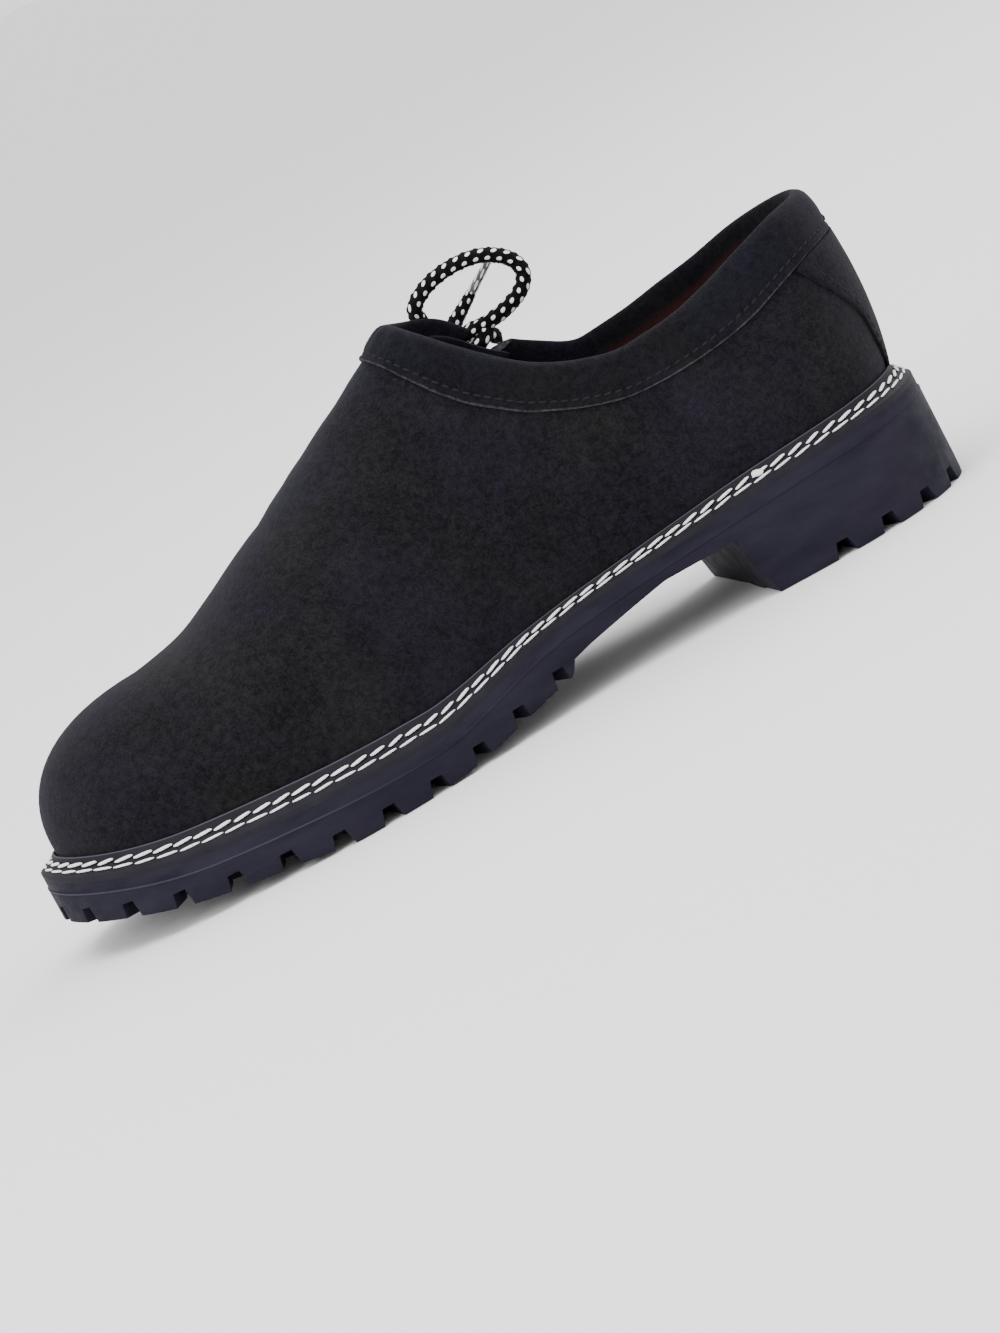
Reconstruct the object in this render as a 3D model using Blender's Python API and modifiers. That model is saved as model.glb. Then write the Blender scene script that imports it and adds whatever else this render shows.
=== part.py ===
"""A side-laced suede folk shoe for the right foot, standing empty on its lugged rubber sole."""

import math

import bmesh
import bpy
import numpy as np
from mathutils import Vector

# The last, in metres: x runs from the heel's back to the toe, y to the medial side, z up from the floor
UPPER_LENGTH = 0.284
BALL_WIDTH = 0.097
HEEL_WIDTH = 0.064
INSTEP_HEIGHT = 0.099
TOE_BOX_HEIGHT = 0.0499
HEEL_FLARE = 0.017
SIDE_FLARE = 0.008
UPPER_WALL = 0.0022
FIT_GAP = 0.0003
CUT_MARGIN = 0.003

# The bottom: the bed is the top of the midsole, on which insole, upper and welt stand
HEEL_STACK = 0.0318
BALL_STACK = 0.0141
TOE_SPRING = 0.0110
MIDSOLE_THICKNESS = 0.004
INSOLE_THICKNESS = 0.003
WELT_HEIGHT = 0.0073
WELT_WIDTH = 0.0078
WELT_LIP = 0.0011
WELT_EDGE = 0.001
SOLE_MARGIN = 0.0003
LUG_DEPTH = 0.0047
LUG_PITCH = 0.0158
NOTCH_MOUTH = 0.0085
NOTCH_ROOT = 0.0038
NOTCH_REACH = 0.0140
CHANNEL_WIDTH = 0.0045
CHANNEL_DEPTH = 0.0040
CHANNEL_STEP = 0.011
CROSS_GROOVES = (0.52, 0.90)
CROSS_GROOVE_COUNT = 6
TREAD_BACK = 0.474
HEEL_BREAST = 0.205

# Collar, tongue and heel stay
COLLAR_SWELL = 0.0016
COLLAR_DEPTH = 0.0033
TONGUE_WALL = 0.0018
STAY_WALL = 0.0010
STAY_WIDTH = 0.070

# Slit and lace
SLIT_MOUTH = 0.0110
SLIT_END = 0.0009
LACE_DIAMETER = 0.0047
EYELET_DIAMETER = 0.0056
AGLET_DIAMETER = 0.0034

# How finely the solids are faceted
HEEL_STEPS = 10
TOE_STEPS = 12
SIDE_ROWS = 11
CURVE_STEPS = 40

# Outline of the last at the feather: shares of UPPER_LENGTH, and half widths as shares of the width named
HEEL_OUTLINE = [
    # along, medial, lateral: shares of HEEL_WIDTH
    (0.000, 0.000, 0.000),
    (0.020, 0.255, 0.255),
    (0.058, 0.408, 0.408),
    (0.120, 0.495, 0.495),
    (0.215, 0.490, 0.505),
]
FORE_OUTLINE = [
    # along, medial, lateral: shares of BALL_WIDTH
    (0.324, 0.306, 0.360),
    (0.430, 0.325, 0.415),
    (0.535, 0.393, 0.478),
    (0.640, 0.462, 0.518),
    (0.735, 0.492, 0.508),
    (0.838, 0.438, 0.440),
    (0.922, 0.372, 0.325),
    (0.976, 0.248, 0.170),
    (1.000, 0.040, -0.040),
]
# The bed's height over BALL_STACK: shares of the heel's rise and of the toe spring
BED = [
    # along, heel, toe, welt: share of WELT_HEIGHT
    (-0.05, 1.02, 0.00, 0.90),
    (0.070, 0.965, 0.00, 0.83),
    (0.194, 0.860, 0.00, 0.78),
    (0.290, 0.740, 0.00, 0.66),
    (0.390, 0.620, 0.00, 0.55),
    (0.461, 0.500, 0.00, 0.56),
    (0.500, 0.395, 0.00, 0.63),
    (0.546, 0.210, 0.00, 0.77),
    (0.604, 0.020, 0.00, 0.93),
    (0.650, 0.000, 0.00, 1.00),
    (0.710, 0.000, 0.05, 1.00),
    (0.775, 0.000, 0.13, 1.00),
    (0.850, 0.000, 0.23, 1.00),
    (0.900, 0.000, 0.36, 0.98),
    (0.940, 0.000, 0.55, 0.96),
    (1.000, 0.000, 0.95, 0.93),
    (1.040, 0.000, 1.25, 0.90),
]
# The sole's underside: shares of the height of the outsole's top. The two flats stand on the floor.
UNDERSIDE = [
    # along, share
    (-0.05, 0.00),
    (0.232, 0.00),
    (0.246, 0.82),
    (0.331, 0.88),
    (0.433, 0.72),
    (0.454, 0.67),
    (0.461, 0.47),
    (0.494, 0.42),
    (0.528, 0.34),
    (0.567, 0.23),
    (0.604, 0.10),
    (0.640, 0.00),
    (0.746, 0.00),
    (0.770, 0.09),
    (0.800, 0.18),
    (0.880, 0.33),
    (0.925, 0.43),
    (0.965, 0.52),
    (1.040, 0.61),
]
# The ridge over the instep: its height above the bed, as shares of INSTEP_HEIGHT and TOE_BOX_HEIGHT
CREST = [
    # along, instep, toe_box
    (0.120, 1.24, 0.00),
    (0.290, 1.19, 0.00),
    (0.375, 1.085, 0.00),
    (0.429, 1.004, 0.00),
    (0.470, 0.945, 0.00),
    (0.515, 0.898, 0.00),
    (0.554, 0.852, 0.03),
    (0.613, 0.742, 0.13),
    (0.650, 0.545, 0.40),
    (0.702, 0.345, 0.64),
    (0.740, 0.196, 0.81),
    (0.778, 0.079, 0.93),
    (0.838, 0.000, 1.00),
]
# Each rib of the last is one curve from the feather to the ridge
RIBS = [
    # along the feather, height of the fullest place, width of the crown, share of the heel's flare
    (0.000, 0.42, 0.72, 1.00),
    (0.060, 0.44, 0.60, 0.85),
    (0.120, 0.46, 0.45, 0.45),
    (0.215, 0.48, 0.36, 0.30),
    (0.370, 0.50, 0.42, 0.15),
    (0.460, 0.50, 0.55, 0.10),
    (0.560, 0.52, 0.62, 0.06),
    (0.700, 0.56, 0.66, 0.10),
    (0.838, 0.60, 0.72, 0.16),
    (0.940, 0.62, 0.74, 0.16),
    (1.000, 0.62, 0.74, 0.16),
]
# Topline and collar seam: heights above the bed, as shares of INSTEP_HEIGHT. The seam is level on both sides.
TOPLINE = [
    # along, medial, lateral
    (0.000, 0.660, 0.660),
    (0.050, 0.654, 0.634),
    (0.100, 0.620, 0.603),
    (0.150, 0.583, 0.589),
    (0.190, 0.562, 0.578),
    (0.245, 0.559, 0.577),
    (0.295, 0.597, 0.649),
    (0.345, 0.675, 0.760),
    (0.382, 0.771, 0.872),
    (0.404, 0.838, 0.915),
    (0.424, 0.906, 0.945),
    (0.445, 0.980, 0.980),
]
SEAM = [
    # along, height
    (0.000, 0.520),
    (0.034, 0.514),
    (0.073, 0.486),
    (0.117, 0.445),
    (0.160, 0.426),
    (0.200, 0.420),
    (0.232, 0.423),
    (0.271, 0.438),
    (0.318, 0.485),
    (0.344, 0.521),
    (0.371, 0.564),
    (0.394, 0.616),
    (0.419, 0.678),
    (0.440, 0.750),
    (0.461, 0.840),
    (0.474, 0.902),
    (0.482, 0.934),
]
# The padded collar's section: shares of its height, of COLLAR_SWELL outwards and COLLAR_DEPTH inwards
COLLAR_SECTION = [
    # up, swell, depth
    (0.03, 0.10, 0.00),
    (0.10, 0.75, 0.00),
    (0.50, 1.00, 0.00),
    (0.88, 0.70, 0.00),
    (1.03, 0.00, 0.10),
    (1.06, 0.00, 0.45),
    (1.00, 0.00, 0.85),
    (0.85, 0.00, 1.00),
    (0.40, 0.00, 1.00),
    (0.03, 0.00, 0.85),
]
# The heel stay narrows from the collar seam to the welt
STAY = [
    # up, width
    (0.00, 0.22),
    (0.20, 0.40),
    (0.33, 0.47),
    (0.45, 0.53),
    (0.64, 0.70),
    (0.80, 0.84),
    (1.00, 1.00),
]
# The slit on the lateral side; across is the share of the rib from the ridge to the feather
SLIT = [
    # along, across, share of the mouth
    (0.549, 0.455, 0.00),
    (0.499, 0.468, 0.05),
    (0.439, 0.488, 0.10),
    (0.409, 0.500, 0.25),
    (0.384, 0.508, 0.60),
    (0.354, 0.515, 1.00),
    (0.321, 0.520, 1.30),
]
# The holes that the lace runs through, on either side of the slit
EYELETS = {
    # along, across
    "lower_front": (0.491, 0.365),
    "lower_rear": (0.513, 0.560),
    "upper_front": (0.401, 0.415),
    "upper_rear": (0.375, 0.615),
}
# The tongue under the slit: its two corners at the topline and its two at the toe end
TONGUE_TOP = (0.327, 0.401)
TONGUE_END = [
    # along, across
    (0.570, 0.640),
    (0.610, 0.300),
]
# The knot sits over the slit, and the lace's free parts are routes from its middle, in metres
KNOT_ALONG = 0.383
KNOT_ACROSS = 0.515
KNOT_RISE = 0.0085
KNOT_SIZE = 0.0058
LOOP_MEDIAL = [
    (-0.0008, 0.0008, 0.0076),
    (0.0018, 0.0030, 0.0125),
    (0.0024, 0.0060, 0.0178),
    (-0.0040, 0.0080, 0.0222),
    (-0.0130, 0.0090, 0.0238),
    (-0.0220, 0.0096, 0.0226),
    (-0.0290, 0.0100, 0.0182),
    (-0.0312, 0.0102, 0.0128),
    (-0.0285, 0.0096, 0.0080),
    (-0.0220, 0.0080, 0.0048),
    (-0.0150, 0.0050, 0.0034),
    (-0.0084, 0.0024, 0.0026),
]
LOOP_LATERAL = [
    (0.0042, -0.0027, -0.0070),
    (0.0068, -0.0058, -0.0150),
    (0.0092, -0.0082, -0.0270),
    (0.0115, -0.0105, -0.0390),
    (0.0140, -0.0125, -0.0500),
    (0.0185, -0.0138, -0.0575),
    (0.0245, -0.0140, -0.0580),
    (0.0280, -0.0132, -0.0520),
    (0.0272, -0.0115, -0.0420),
    (0.0230, -0.0095, -0.0300),
    (0.0180, -0.0065, -0.0180),
    (0.0138, -0.0036, -0.0086),
    (0.0086, -0.0012, -0.0018),
]
END_MEDIAL = [
    (-0.0042, -0.0020, 0.0048),
    (-0.0085, -0.0022, 0.0078),
    (-0.0130, -0.0016, 0.0108),
    (-0.0165, -0.0010, 0.0132),
]
END_LATERAL = [
    (-0.0010, -0.0066, -0.0073),
    (-0.0040, -0.0092, -0.0170),
    (-0.0060, -0.0110, -0.0300),
    (-0.0060, -0.0125, -0.0420),
    (-0.0045, -0.0155, -0.0540),
    (-0.0020, -0.0182, -0.0650),
    (0.0005, -0.0195, -0.0740),
]
AGLET_LENGTH = 0.0150
HEEL_CENTRE = 0.120
TOE_CENTRE = 0.838
TOE_OFFSET = 0.041
FRONT_START = 0.300
STATIONS = [
    0.120, 0.165, 0.200, 0.232, 0.246, 0.288, 0.331, 0.366, 0.400, 0.433, 0.454, 0.461,
    0.494, 0.528, 0.567, 0.604, 0.640, 0.675, 0.710, 0.746, 0.792, 0.838,
]


def clear_scene():
    for item in list(bpy.data.objects):
        bpy.data.objects.remove(item, do_unlink=True)


def smooth(at, places, values):
    """A smooth curve through a table's values, with level ends and no overshoot between equal values."""
    places, values = np.array(places, float), np.array(values, float)
    steps = np.diff(places)
    slopes = np.diff(values) / steps
    inner = np.where(slopes[1:] * slopes[:-1] > 0, (slopes[1:] + slopes[:-1]) / 2, 0.0)
    tangents = np.concatenate([slopes[:1], inner, slopes[-1:]])
    at = np.clip(at, places[0], places[-1])
    i = np.clip(np.searchsorted(places, at, side="right") - 1, 0, len(steps) - 1)
    t = (at - places[i]) / steps[i]
    return (
        (1 + 2 * t) * (1 - t) ** 2 * values[i]
        + t * (1 - t) ** 2 * steps[i] * tangents[i]
        + t * t * (3 - 2 * t) * values[i + 1]
        + t * t * (t - 1) * steps[i] * tangents[i + 1]
    )


def column(table, index):
    return [row[index] for row in table]


def bed(x):
    """Height of the midsole's top over the floor."""
    along = np.asarray(x) / UPPER_LENGTH
    heel = smooth(along, column(BED, 0), column(BED, 1))
    toe = smooth(along, column(BED, 0), column(BED, 2))
    return BALL_STACK + heel * (HEEL_STACK - BALL_STACK) + toe * TOE_SPRING


def welt_top(x):
    """Height of the welt's lip, where it meets the upper."""
    share = smooth(np.asarray(x) / UPPER_LENGTH, column(BED, 0), column(BED, 3))
    return bed(x) + share * WELT_HEIGHT


def outsole_top(x):
    return bed(x) - MIDSOLE_THICKNESS - FIT_GAP


def underside(x):
    """Height of the lugs' lowest faces."""
    along = np.asarray(x) / UPPER_LENGTH
    return np.interp(along, column(UNDERSIDE, 0), column(UNDERSIDE, 1)) * outsole_top(x)


def closed_curve(points, count):
    """Points spread evenly along a closed cubic spline through the given ones."""
    points = np.array(points, float)
    n = len(points)
    chords = np.linalg.norm(np.roll(points, -1, 0) - points, axis=1)
    rows = np.zeros((n, n))
    sides = np.zeros((n, 2))
    for i in range(n):
        before, after = chords[i - 1], chords[i]
        rows[i, i - 1], rows[i, i], rows[i, (i + 1) % n] = after, 2 * (before + after), before
        sides[i] = 3 * (
            after * (points[i] - points[i - 1]) / before
            + before * (points[(i + 1) % n] - points[i]) / after
        )
    tangents = np.linalg.solve(rows, sides)
    fine = []
    for i in range(n):
        t = np.linspace(0, 1, CURVE_STEPS, endpoint=False)[:, None]
        j = (i + 1) % n
        fine.append(
            (1 + 2 * t) * (1 - t) ** 2 * points[i]
            + t * (1 - t) ** 2 * chords[i] * tangents[i]
            + t * t * (3 - 2 * t) * points[j]
            + t * t * (t - 1) * chords[i] * tangents[j]
        )
    fine = np.concatenate(fine)
    loop = np.vstack([fine, fine[:1]])
    run = np.concatenate([[0], np.cumsum(np.linalg.norm(np.diff(loop, axis=0), axis=1))])
    at = np.linspace(0, run[-1], count, endpoint=False)
    return np.stack([np.interp(at, run, loop[:, k]) for k in range(2)], axis=1)


def feather_outline():
    """The last's outline in plan, from the heel's back along the medial side to the toe and back."""
    rows = [(a, m * HEEL_WIDTH, s * HEEL_WIDTH) for a, m, s in HEEL_OUTLINE]
    rows += [(a, m * BALL_WIDTH, s * BALL_WIDTH) for a, m, s in FORE_OUTLINE]
    medial = [(a * UPPER_LENGTH, m) for a, m, _ in rows]
    lateral = [(a * UPPER_LENGTH, -s) for a, _, s in rows[-2:0:-1]]
    return closed_curve(medial + lateral, 1600)


OUTLINE = feather_outline()
TOE_TIP = int(OUTLINE[:, 0].argmax())
MEDIAL = OUTLINE[: TOE_TIP + 1]
LATERAL = np.vstack([OUTLINE[TOE_TIP:], OUTLINE[:1]])[::-1]
HEEL_POINT = np.array([HEEL_CENTRE * UPPER_LENGTH, 0.0])
TOE_POINT = np.array([TOE_CENTRE * UPPER_LENGTH, TOE_OFFSET * BALL_WIDTH])


def spine(x):
    """The plan's middle line, between the centres that the ribs of heel and toe fan out from."""
    share = np.clip((x - HEEL_POINT[0]) / (TOE_POINT[0] - HEEL_POINT[0]), 0, 1)
    return HEEL_POINT + share[..., None] * (TOE_POINT - HEEL_POINT)


def polar(centre):
    """Directions and distances of the outline as seen from a centre."""
    away = OUTLINE - centre
    angle = np.arctan2(away[:, 1], away[:, 0])
    order = np.argsort(angle)
    return angle[order], np.hypot(away[:, 0], away[:, 1])[order]


HEEL_POLAR = polar(HEEL_POINT)
TOE_POLAR = polar(TOE_POINT)


def rib_of(plan):
    """Centre, direction and length in plan of the rib through each plan point, and its share from the ridge."""
    centre = spine(plan[..., 0])
    away = plan - centre
    angle = np.arctan2(away[..., 1], away[..., 0])
    side = np.where(away[..., 1] >= 0, 1.0, -1.0)
    x = plan[..., 0]
    reach = np.where(
        side > 0,
        np.interp(x, MEDIAL[:, 0], MEDIAL[:, 1]) - centre[..., 1],
        centre[..., 1] - np.interp(x, LATERAL[:, 0], LATERAL[:, 1]),
    )
    ray = np.stack([np.zeros_like(side), side], axis=-1)
    length = np.hypot(away[..., 0], away[..., 1])
    for fan, where in ((HEEL_POLAR, x < HEEL_POINT[0]), (TOE_POLAR, x > TOE_POINT[0])):
        reach = np.where(where, np.interp(angle, *fan, period=2 * math.pi), reach)
        turned = np.stack([np.cos(angle), np.sin(angle)], axis=-1)
        ray = np.where(where[..., None], turned, ray)
    return centre, ray, reach, np.clip(length / reach, 0, 1.05)


def rib_form(centre, ray, reach):
    """Feather height, ridge height, fullest height, crown width and flare of each rib."""
    foot = centre + ray * reach[..., None]
    along = foot[..., 0] / UPPER_LENGTH
    middle = centre[..., 0] / UPPER_LENGTH
    low = bed(foot[..., 0]) + FIT_GAP
    high = (
        bed(centre[..., 0])
        + smooth(middle, column(CREST, 0), column(CREST, 1)) * INSTEP_HEIGHT
        + smooth(middle, column(CREST, 0), column(CREST, 2)) * TOE_BOX_HEIGHT
    )
    fullest, crown, flare = (smooth(along, column(RIBS, 0), column(RIBS, k)) for k in (1, 2, 3))
    return low, high, fullest, crown, flare * HEEL_FLARE + (1 - flare) * SIDE_FLARE * 0.5


def last(plan):
    """The last's surface over points of its flattened plan."""
    centre, ray, reach, share = rib_of(plan)
    low, high, fullest, crown, flare = rib_form(centre, ray, reach)
    t = 1 - share
    a, b, c = (1 - t) ** 3, 3 * (1 - t) ** 2 * t, 3 * (1 - t) * t * t
    out = a * reach + b * (reach + flare) + c * crown * reach
    up = low + (high - low) * (b * fullest + c + t**3)
    place = centre + ray * out[..., None]
    return np.concatenate([place, up[..., None]], axis=-1)


def skin(plan, out=0.0):
    """The last's surface moved out along its normal."""
    plan = np.asarray(plan, float)
    step = 0.0005
    over_x = last(plan + [step, 0]) - last(plan - [step, 0])
    over_y = last(plan + [0, step]) - last(plan - [0, step])
    normal = np.cross(over_x, over_y)
    normal /= np.linalg.norm(normal, axis=-1, keepdims=True)
    return last(plan) + normal * np.asarray(out)[..., None]


def at_height(foot, height):
    """The plan point of the rib that ends at a feather point, where the last reaches a height."""
    centre, ray, reach, _ = rib_of(foot)
    low, high, fullest, _, _ = rib_form(centre, ray, reach)
    t = np.linspace(0, 1, 400)
    rise = 3 * (1 - t) ** 2 * t * np.asarray(fullest)[..., None] + 3 * (1 - t) * t * t + t**3
    goal = np.clip((height - low) / (high - low), 0, 1)
    share = np.array([1 - np.interp(g, r, t) for g, r in zip(goal.ravel(), rise.reshape(-1, 400))])
    return centre + ray * (reach * share.reshape(goal.shape))[..., None]


def feather_columns():
    """Feather points that every ring of upper, welt and sole shares, with their outward normals."""
    heel = np.linspace(math.pi, math.pi / 2, HEEL_STEPS // 2 + 1)[:-1]
    toe = np.linspace(math.pi / 2, 0, TOE_STEPS // 2 + 1)[1:]
    stations = np.array(STATIONS) * UPPER_LENGTH
    sides = []
    for sign, branch in ((1, MEDIAL), (-1, LATERAL)):
        fans = []
        for angles, fan, centre in ((heel, HEEL_POLAR, HEEL_POINT), (toe, TOE_POLAR, TOE_POINT)):
            far = np.interp(sign * angles, *fan, period=2 * math.pi)[:, None]
            fans.append(centre + far * np.stack([np.cos(angles), sign * np.sin(angles)], 1))
        middle = np.stack([stations, np.interp(stations, branch[:, 0], branch[:, 1])], 1)
        sides.append(np.vstack([fans[0], middle, fans[1]]))
    ring = np.vstack([sides[0], sides[1][-2:0:-1]])
    tangent = np.roll(ring, -1, 0) - np.roll(ring, 1, 0)
    normal = np.stack([-tangent[:, 1], tangent[:, 0]], 1)
    return ring, normal / np.linalg.norm(normal, axis=1)[:, None]


FEATHER, FEATHER_NORMAL = feather_columns()
TIP_COLUMN = int(FEATHER[:, 0].argmax())


def line_over(table):
    """A collar line in plan, one point for each feather column, closing over the instep."""
    ends = []
    for branch, side in ((MEDIAL, 1), (LATERAL, -1)):
        last_along = table[-1][0] * UPPER_LENGTH
        x = np.linspace(FRONT_START * UPPER_LENGTH, last_along, 300)
        foot = np.stack([x, np.interp(x, branch[:, 0], branch[:, 1])], 1)
        ends.append(at_height(foot, line_height(table, x, side)))
        ends[-1][-1] = spine(x)[-1]
    heights = [line_height(table, FEATHER[:, 0], side) for side in (1, -1)]
    line = at_height(FEATHER, np.where(np.arange(len(FEATHER)) <= TIP_COLUMN, *heights))
    for end, columns, before in (
        (ends[0], range(TIP_COLUMN + 1), -1),
        (ends[1], range(len(FEATHER) - 1, TIP_COLUMN - 1, -1), 1),
    ):
        front = [i for i in columns if FEATHER[i, 0] > FRONT_START * UPPER_LENGTH]
        feet = FEATHER[[front[0] + before] + front]
        run = np.cumsum(np.linalg.norm(np.diff(feet, axis=0), axis=1))
        length = np.concatenate([[0], np.cumsum(np.linalg.norm(np.diff(end, axis=0), axis=1))])
        for i, share in zip(front, run / run[-1]):
            at = share * length[-1]
            line[i] = [np.interp(at, length, end[:, 0]), np.interp(at, length, end[:, 1])]
    return line


def line_height(table, x, side):
    """Height of a collar line on the medial side, 1, or the lateral side, -1: its table's first or last height."""
    along = np.clip(x / UPPER_LENGTH, 0, table[-1][0])
    return bed(x) + smooth(along, column(table, 0), column(table, side)) * INSTEP_HEIGHT


TOP_LINE = line_over(TOPLINE)
SEAM_LINE = line_over(SEAM)


def outer_ring(margin):
    return FEATHER + FEATHER_NORMAL * margin


SOLE_RING = outer_ring(WELT_WIDTH + SOLE_MARGIN)
MIDDLE = Vector(
    (
        -(SOLE_RING[:, 0].max() + SOLE_RING[:, 0].min()) / 2,
        -(SOLE_RING[:, 1].max() + SOLE_RING[:, 1].min()) / 2,
        0,
    )
)


def material(name, color, roughness, coat=0.0):
    made = bpy.data.materials.new(name)
    made.use_nodes = True
    shader = made.node_tree.nodes["Principled BSDF"]
    shader.inputs["Base Color"].default_value = (*color, 1)
    shader.inputs["Roughness"].default_value = roughness
    shader.inputs["Metallic"].default_value = 0.0
    shader.inputs["Coat Weight"].default_value = coat
    made.diffuse_color = (*color, 1)
    return made


def add_object(name, data, group, look=None):
    item = bpy.data.objects.new(name, data)
    group.objects.link(item)
    item.location = MIDDLE
    if look:
        data.materials.append(look)
    if group is CUTTERS:
        item.hide_render = True
        item.display_type = "WIRE"
    return item


def finish_mesh(name, mesh, group, look):
    bmesh.ops.remove_doubles(mesh, verts=mesh.verts, dist=0.00001)
    bmesh.ops.recalc_face_normals(mesh, faces=mesh.faces)
    data = bpy.data.meshes.new(name)
    mesh.to_mesh(data)
    mesh.free()
    data.shade_smooth()
    data.set_sharp_from_angle(angle=math.radians(40))
    return add_object(name, data, group, look)


def solid(name, bodies, group, look=None, closed=False):
    """Solids lofted through rows of closed sections, in one object."""
    mesh = bmesh.new()
    for sections in bodies:
        rows = [[mesh.verts.new(p) for p in section] for section in sections]
        pairs = list(zip(rows, rows[1:] + rows[:1])) if closed else list(zip(rows, rows[1:]))
        for here, there in pairs:
            for k in range(len(here)):
                j = (k + 1) % len(here)
                mesh.faces.new((here[k], here[j], there[j], there[k]))
        if not closed:
            mesh.faces.new(rows[0])
            mesh.faces.new(rows[-1])
    return finish_mesh(name, mesh, group, look)


def shell(name, grid, wall, look, wrap=False, outward=False):
    """An open surface with its wall put on by a modifier."""
    mesh = bmesh.new()
    rows = [[mesh.verts.new(p) for p in row] for row in grid]
    count = len(rows[0])
    for here, there in zip(rows, rows[1:]):
        for k in range(count if wrap else count - 1):
            j = (k + 1) % count
            mesh.faces.new((here[k], here[j], there[j], there[k]))
    item = finish_mesh(name, mesh, PARTS, look)
    solid = item.modifiers.new("wall", "SOLIDIFY")
    solid.thickness = wall
    solid.offset = 1.0 if outward else -1.0
    return item


def slab(name, margin, low, high, look):
    """A layer of the sole between two heights that follow x, inside a ring around the feather."""
    mesh = bmesh.new()
    ring = outer_ring(margin)
    centre = rib_of(FEATHER)[0]
    faces = []
    for height in (low, high):
        plan = [centre + (ring - centre) * share for share in (1.0, 0.84, 0.60, 0.28, 0.0)]
        rows = [[mesh.verts.new((*p, height(p[0]))) for p in row] for row in plan]
        faces.append(rows)
        for here, there in zip(rows, rows[1:]):
            for k in range(len(here)):
                j = (k + 1) % len(here)
                mesh.faces.new((here[k], here[j], there[j], there[k]))
    for k in range(len(ring)):
        j = (k + 1) % len(ring)
        mesh.faces.new((faces[0][0][k], faces[0][0][j], faces[1][0][j], faces[1][0][k]))
    return finish_mesh(name, mesh, PARTS, look)


def cut(item, cutter):
    tool = item.modifiers.new(cutter.name, "BOOLEAN")
    tool.operation = "DIFFERENCE"
    tool.solver = "EXACT"
    tool.object = cutter


def make_upper():
    shares = (np.linspace(0, 1, SIDE_ROWS + 1) ** 1.5)[:, None, None]
    plan = FEATHER + (SEAM_LINE - FEATHER) * shares
    return shell("upper", skin(plan), UPPER_WALL, SUEDE, wrap=True)


def make_collar():
    sections = []
    for seam, top in zip(SEAM_LINE, TOP_LINE):
        section = []
        for up, swell, depth in COLLAR_SECTION:
            plan = seam + (top - seam) * up
            section.append(skin(plan, swell * COLLAR_SWELL - depth * COLLAR_DEPTH))
        sections.append(section)
    return solid("collar", [sections], PARTS, SUEDE_COLLAR, closed=True)


def make_welt():
    """A strip stitched down round the upper: a lip against it, and a face that slopes to the sole's edge."""
    sections = []
    edge = outer_ring(WELT_WIDTH)
    for foot, normal, far in zip(FEATHER, FEATHER_NORMAL, edge):
        floor, rim = bed(foot[0]) + FIT_GAP, bed(far[0]) + FIT_GAP
        top = at_height(foot[None], welt_top(foot[:1]))[0]
        lean = skin(top, FIT_GAP * 2)
        lip = Vector((lean[0], lean[1], welt_top(foot[0])))
        out = Vector((normal[0], normal[1], 0))
        sections.append(
            [
                (*(foot + normal * FIT_GAP * 2), floor),
                lip,
                lip + out * WELT_LIP,
                (*far, rim + WELT_EDGE),
                (*far, rim),
            ]
        )
    return solid("welt", [sections], PARTS, WELT_LEATHER, closed=True)


def make_heel_stay():
    rows = []
    for up in np.linspace(0, 1, 8):
        half = smooth(up, column(STAY, 0), column(STAY, 1)) * STAY_WIDTH / 2
        turn = np.linspace(-1, 1, 17) * half / HEEL_POINT[0]
        reach = np.interp(math.pi + turn, *HEEL_POLAR, period=2 * math.pi)[:, None]
        foot = HEEL_POINT - reach * np.stack([np.cos(turn), np.sin(turn)], 1)
        start = welt_top(foot[:, 0]) + 4 * FIT_GAP
        seam = line_height(SEAM, foot[:, 0], 1) - 2 * FIT_GAP
        rows.append(skin(at_height(foot, start + up * (seam - start)), FIT_GAP))
    return shell("heel_stay", np.array(rows), STAY_WALL, SUEDE, outward=True)


def lateral_point(along, across):
    """Plan point on the lateral side, by its share of the rib from the ridge to the feather."""
    x = np.asarray(along, float) * UPPER_LENGTH
    middle = spine(x)
    edge = np.stack([x, np.interp(x, LATERAL[:, 0], LATERAL[:, 1])], axis=-1)
    return middle + np.asarray(across)[..., None] * (edge - middle)


def slit_centre(along):
    return lateral_point(along, smooth(along, column(SLIT, 0)[::-1], column(SLIT, 1)[::-1]))


def make_slit_cutter():
    sections = []
    for along, _, open_share in SLIT:
        here = skin(slit_centre(along))
        ahead, behind = skin(slit_centre(along + 0.01)), skin(slit_centre(along - 0.01))
        lift = Vector(skin(slit_centre(along), CUT_MARGIN)) - Vector(here)
        run = Vector(ahead) - Vector(behind)
        across = run.cross(lift).normalized()
        lift.normalize()
        half = (SLIT_END + open_share * (SLIT_MOUTH - SLIT_END)) / 2
        deep, high = -COLLAR_DEPTH * 2.2, COLLAR_SWELL * 4
        sections.append(
            [
                Vector(here) + across * side * half + lift * level
                for side, level in ((-1, deep), (1, deep), (1, high), (-1, high))
            ]
        )
    return solid("slit_cutter", [sections], CUTTERS)


def make_tongue():
    """The gusset behind the slit, a little under the collar's inner face."""
    x = np.linspace(*TONGUE_TOP, 8) * UPPER_LENGTH
    foot = np.stack([x, np.interp(x, LATERAL[:, 0], LATERAL[:, 1])], 1)
    start = at_height(foot, line_height(TOPLINE, x, -1) - 2 * COLLAR_SWELL)
    corners = lateral_point(*np.array(TONGUE_END).T)
    end = corners[0] + np.linspace(0, 1, len(x))[:, None] * (corners[1] - corners[0])
    plan = start + (end - start) * np.linspace(0, 1, 9)[:, None, None]
    return shell("tongue", skin(plan, -COLLAR_DEPTH - 1.3 * FIT_GAP), TONGUE_WALL, LINING)


def place_on_side(along, across, out):
    return skin(lateral_point(along, across), out)


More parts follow.
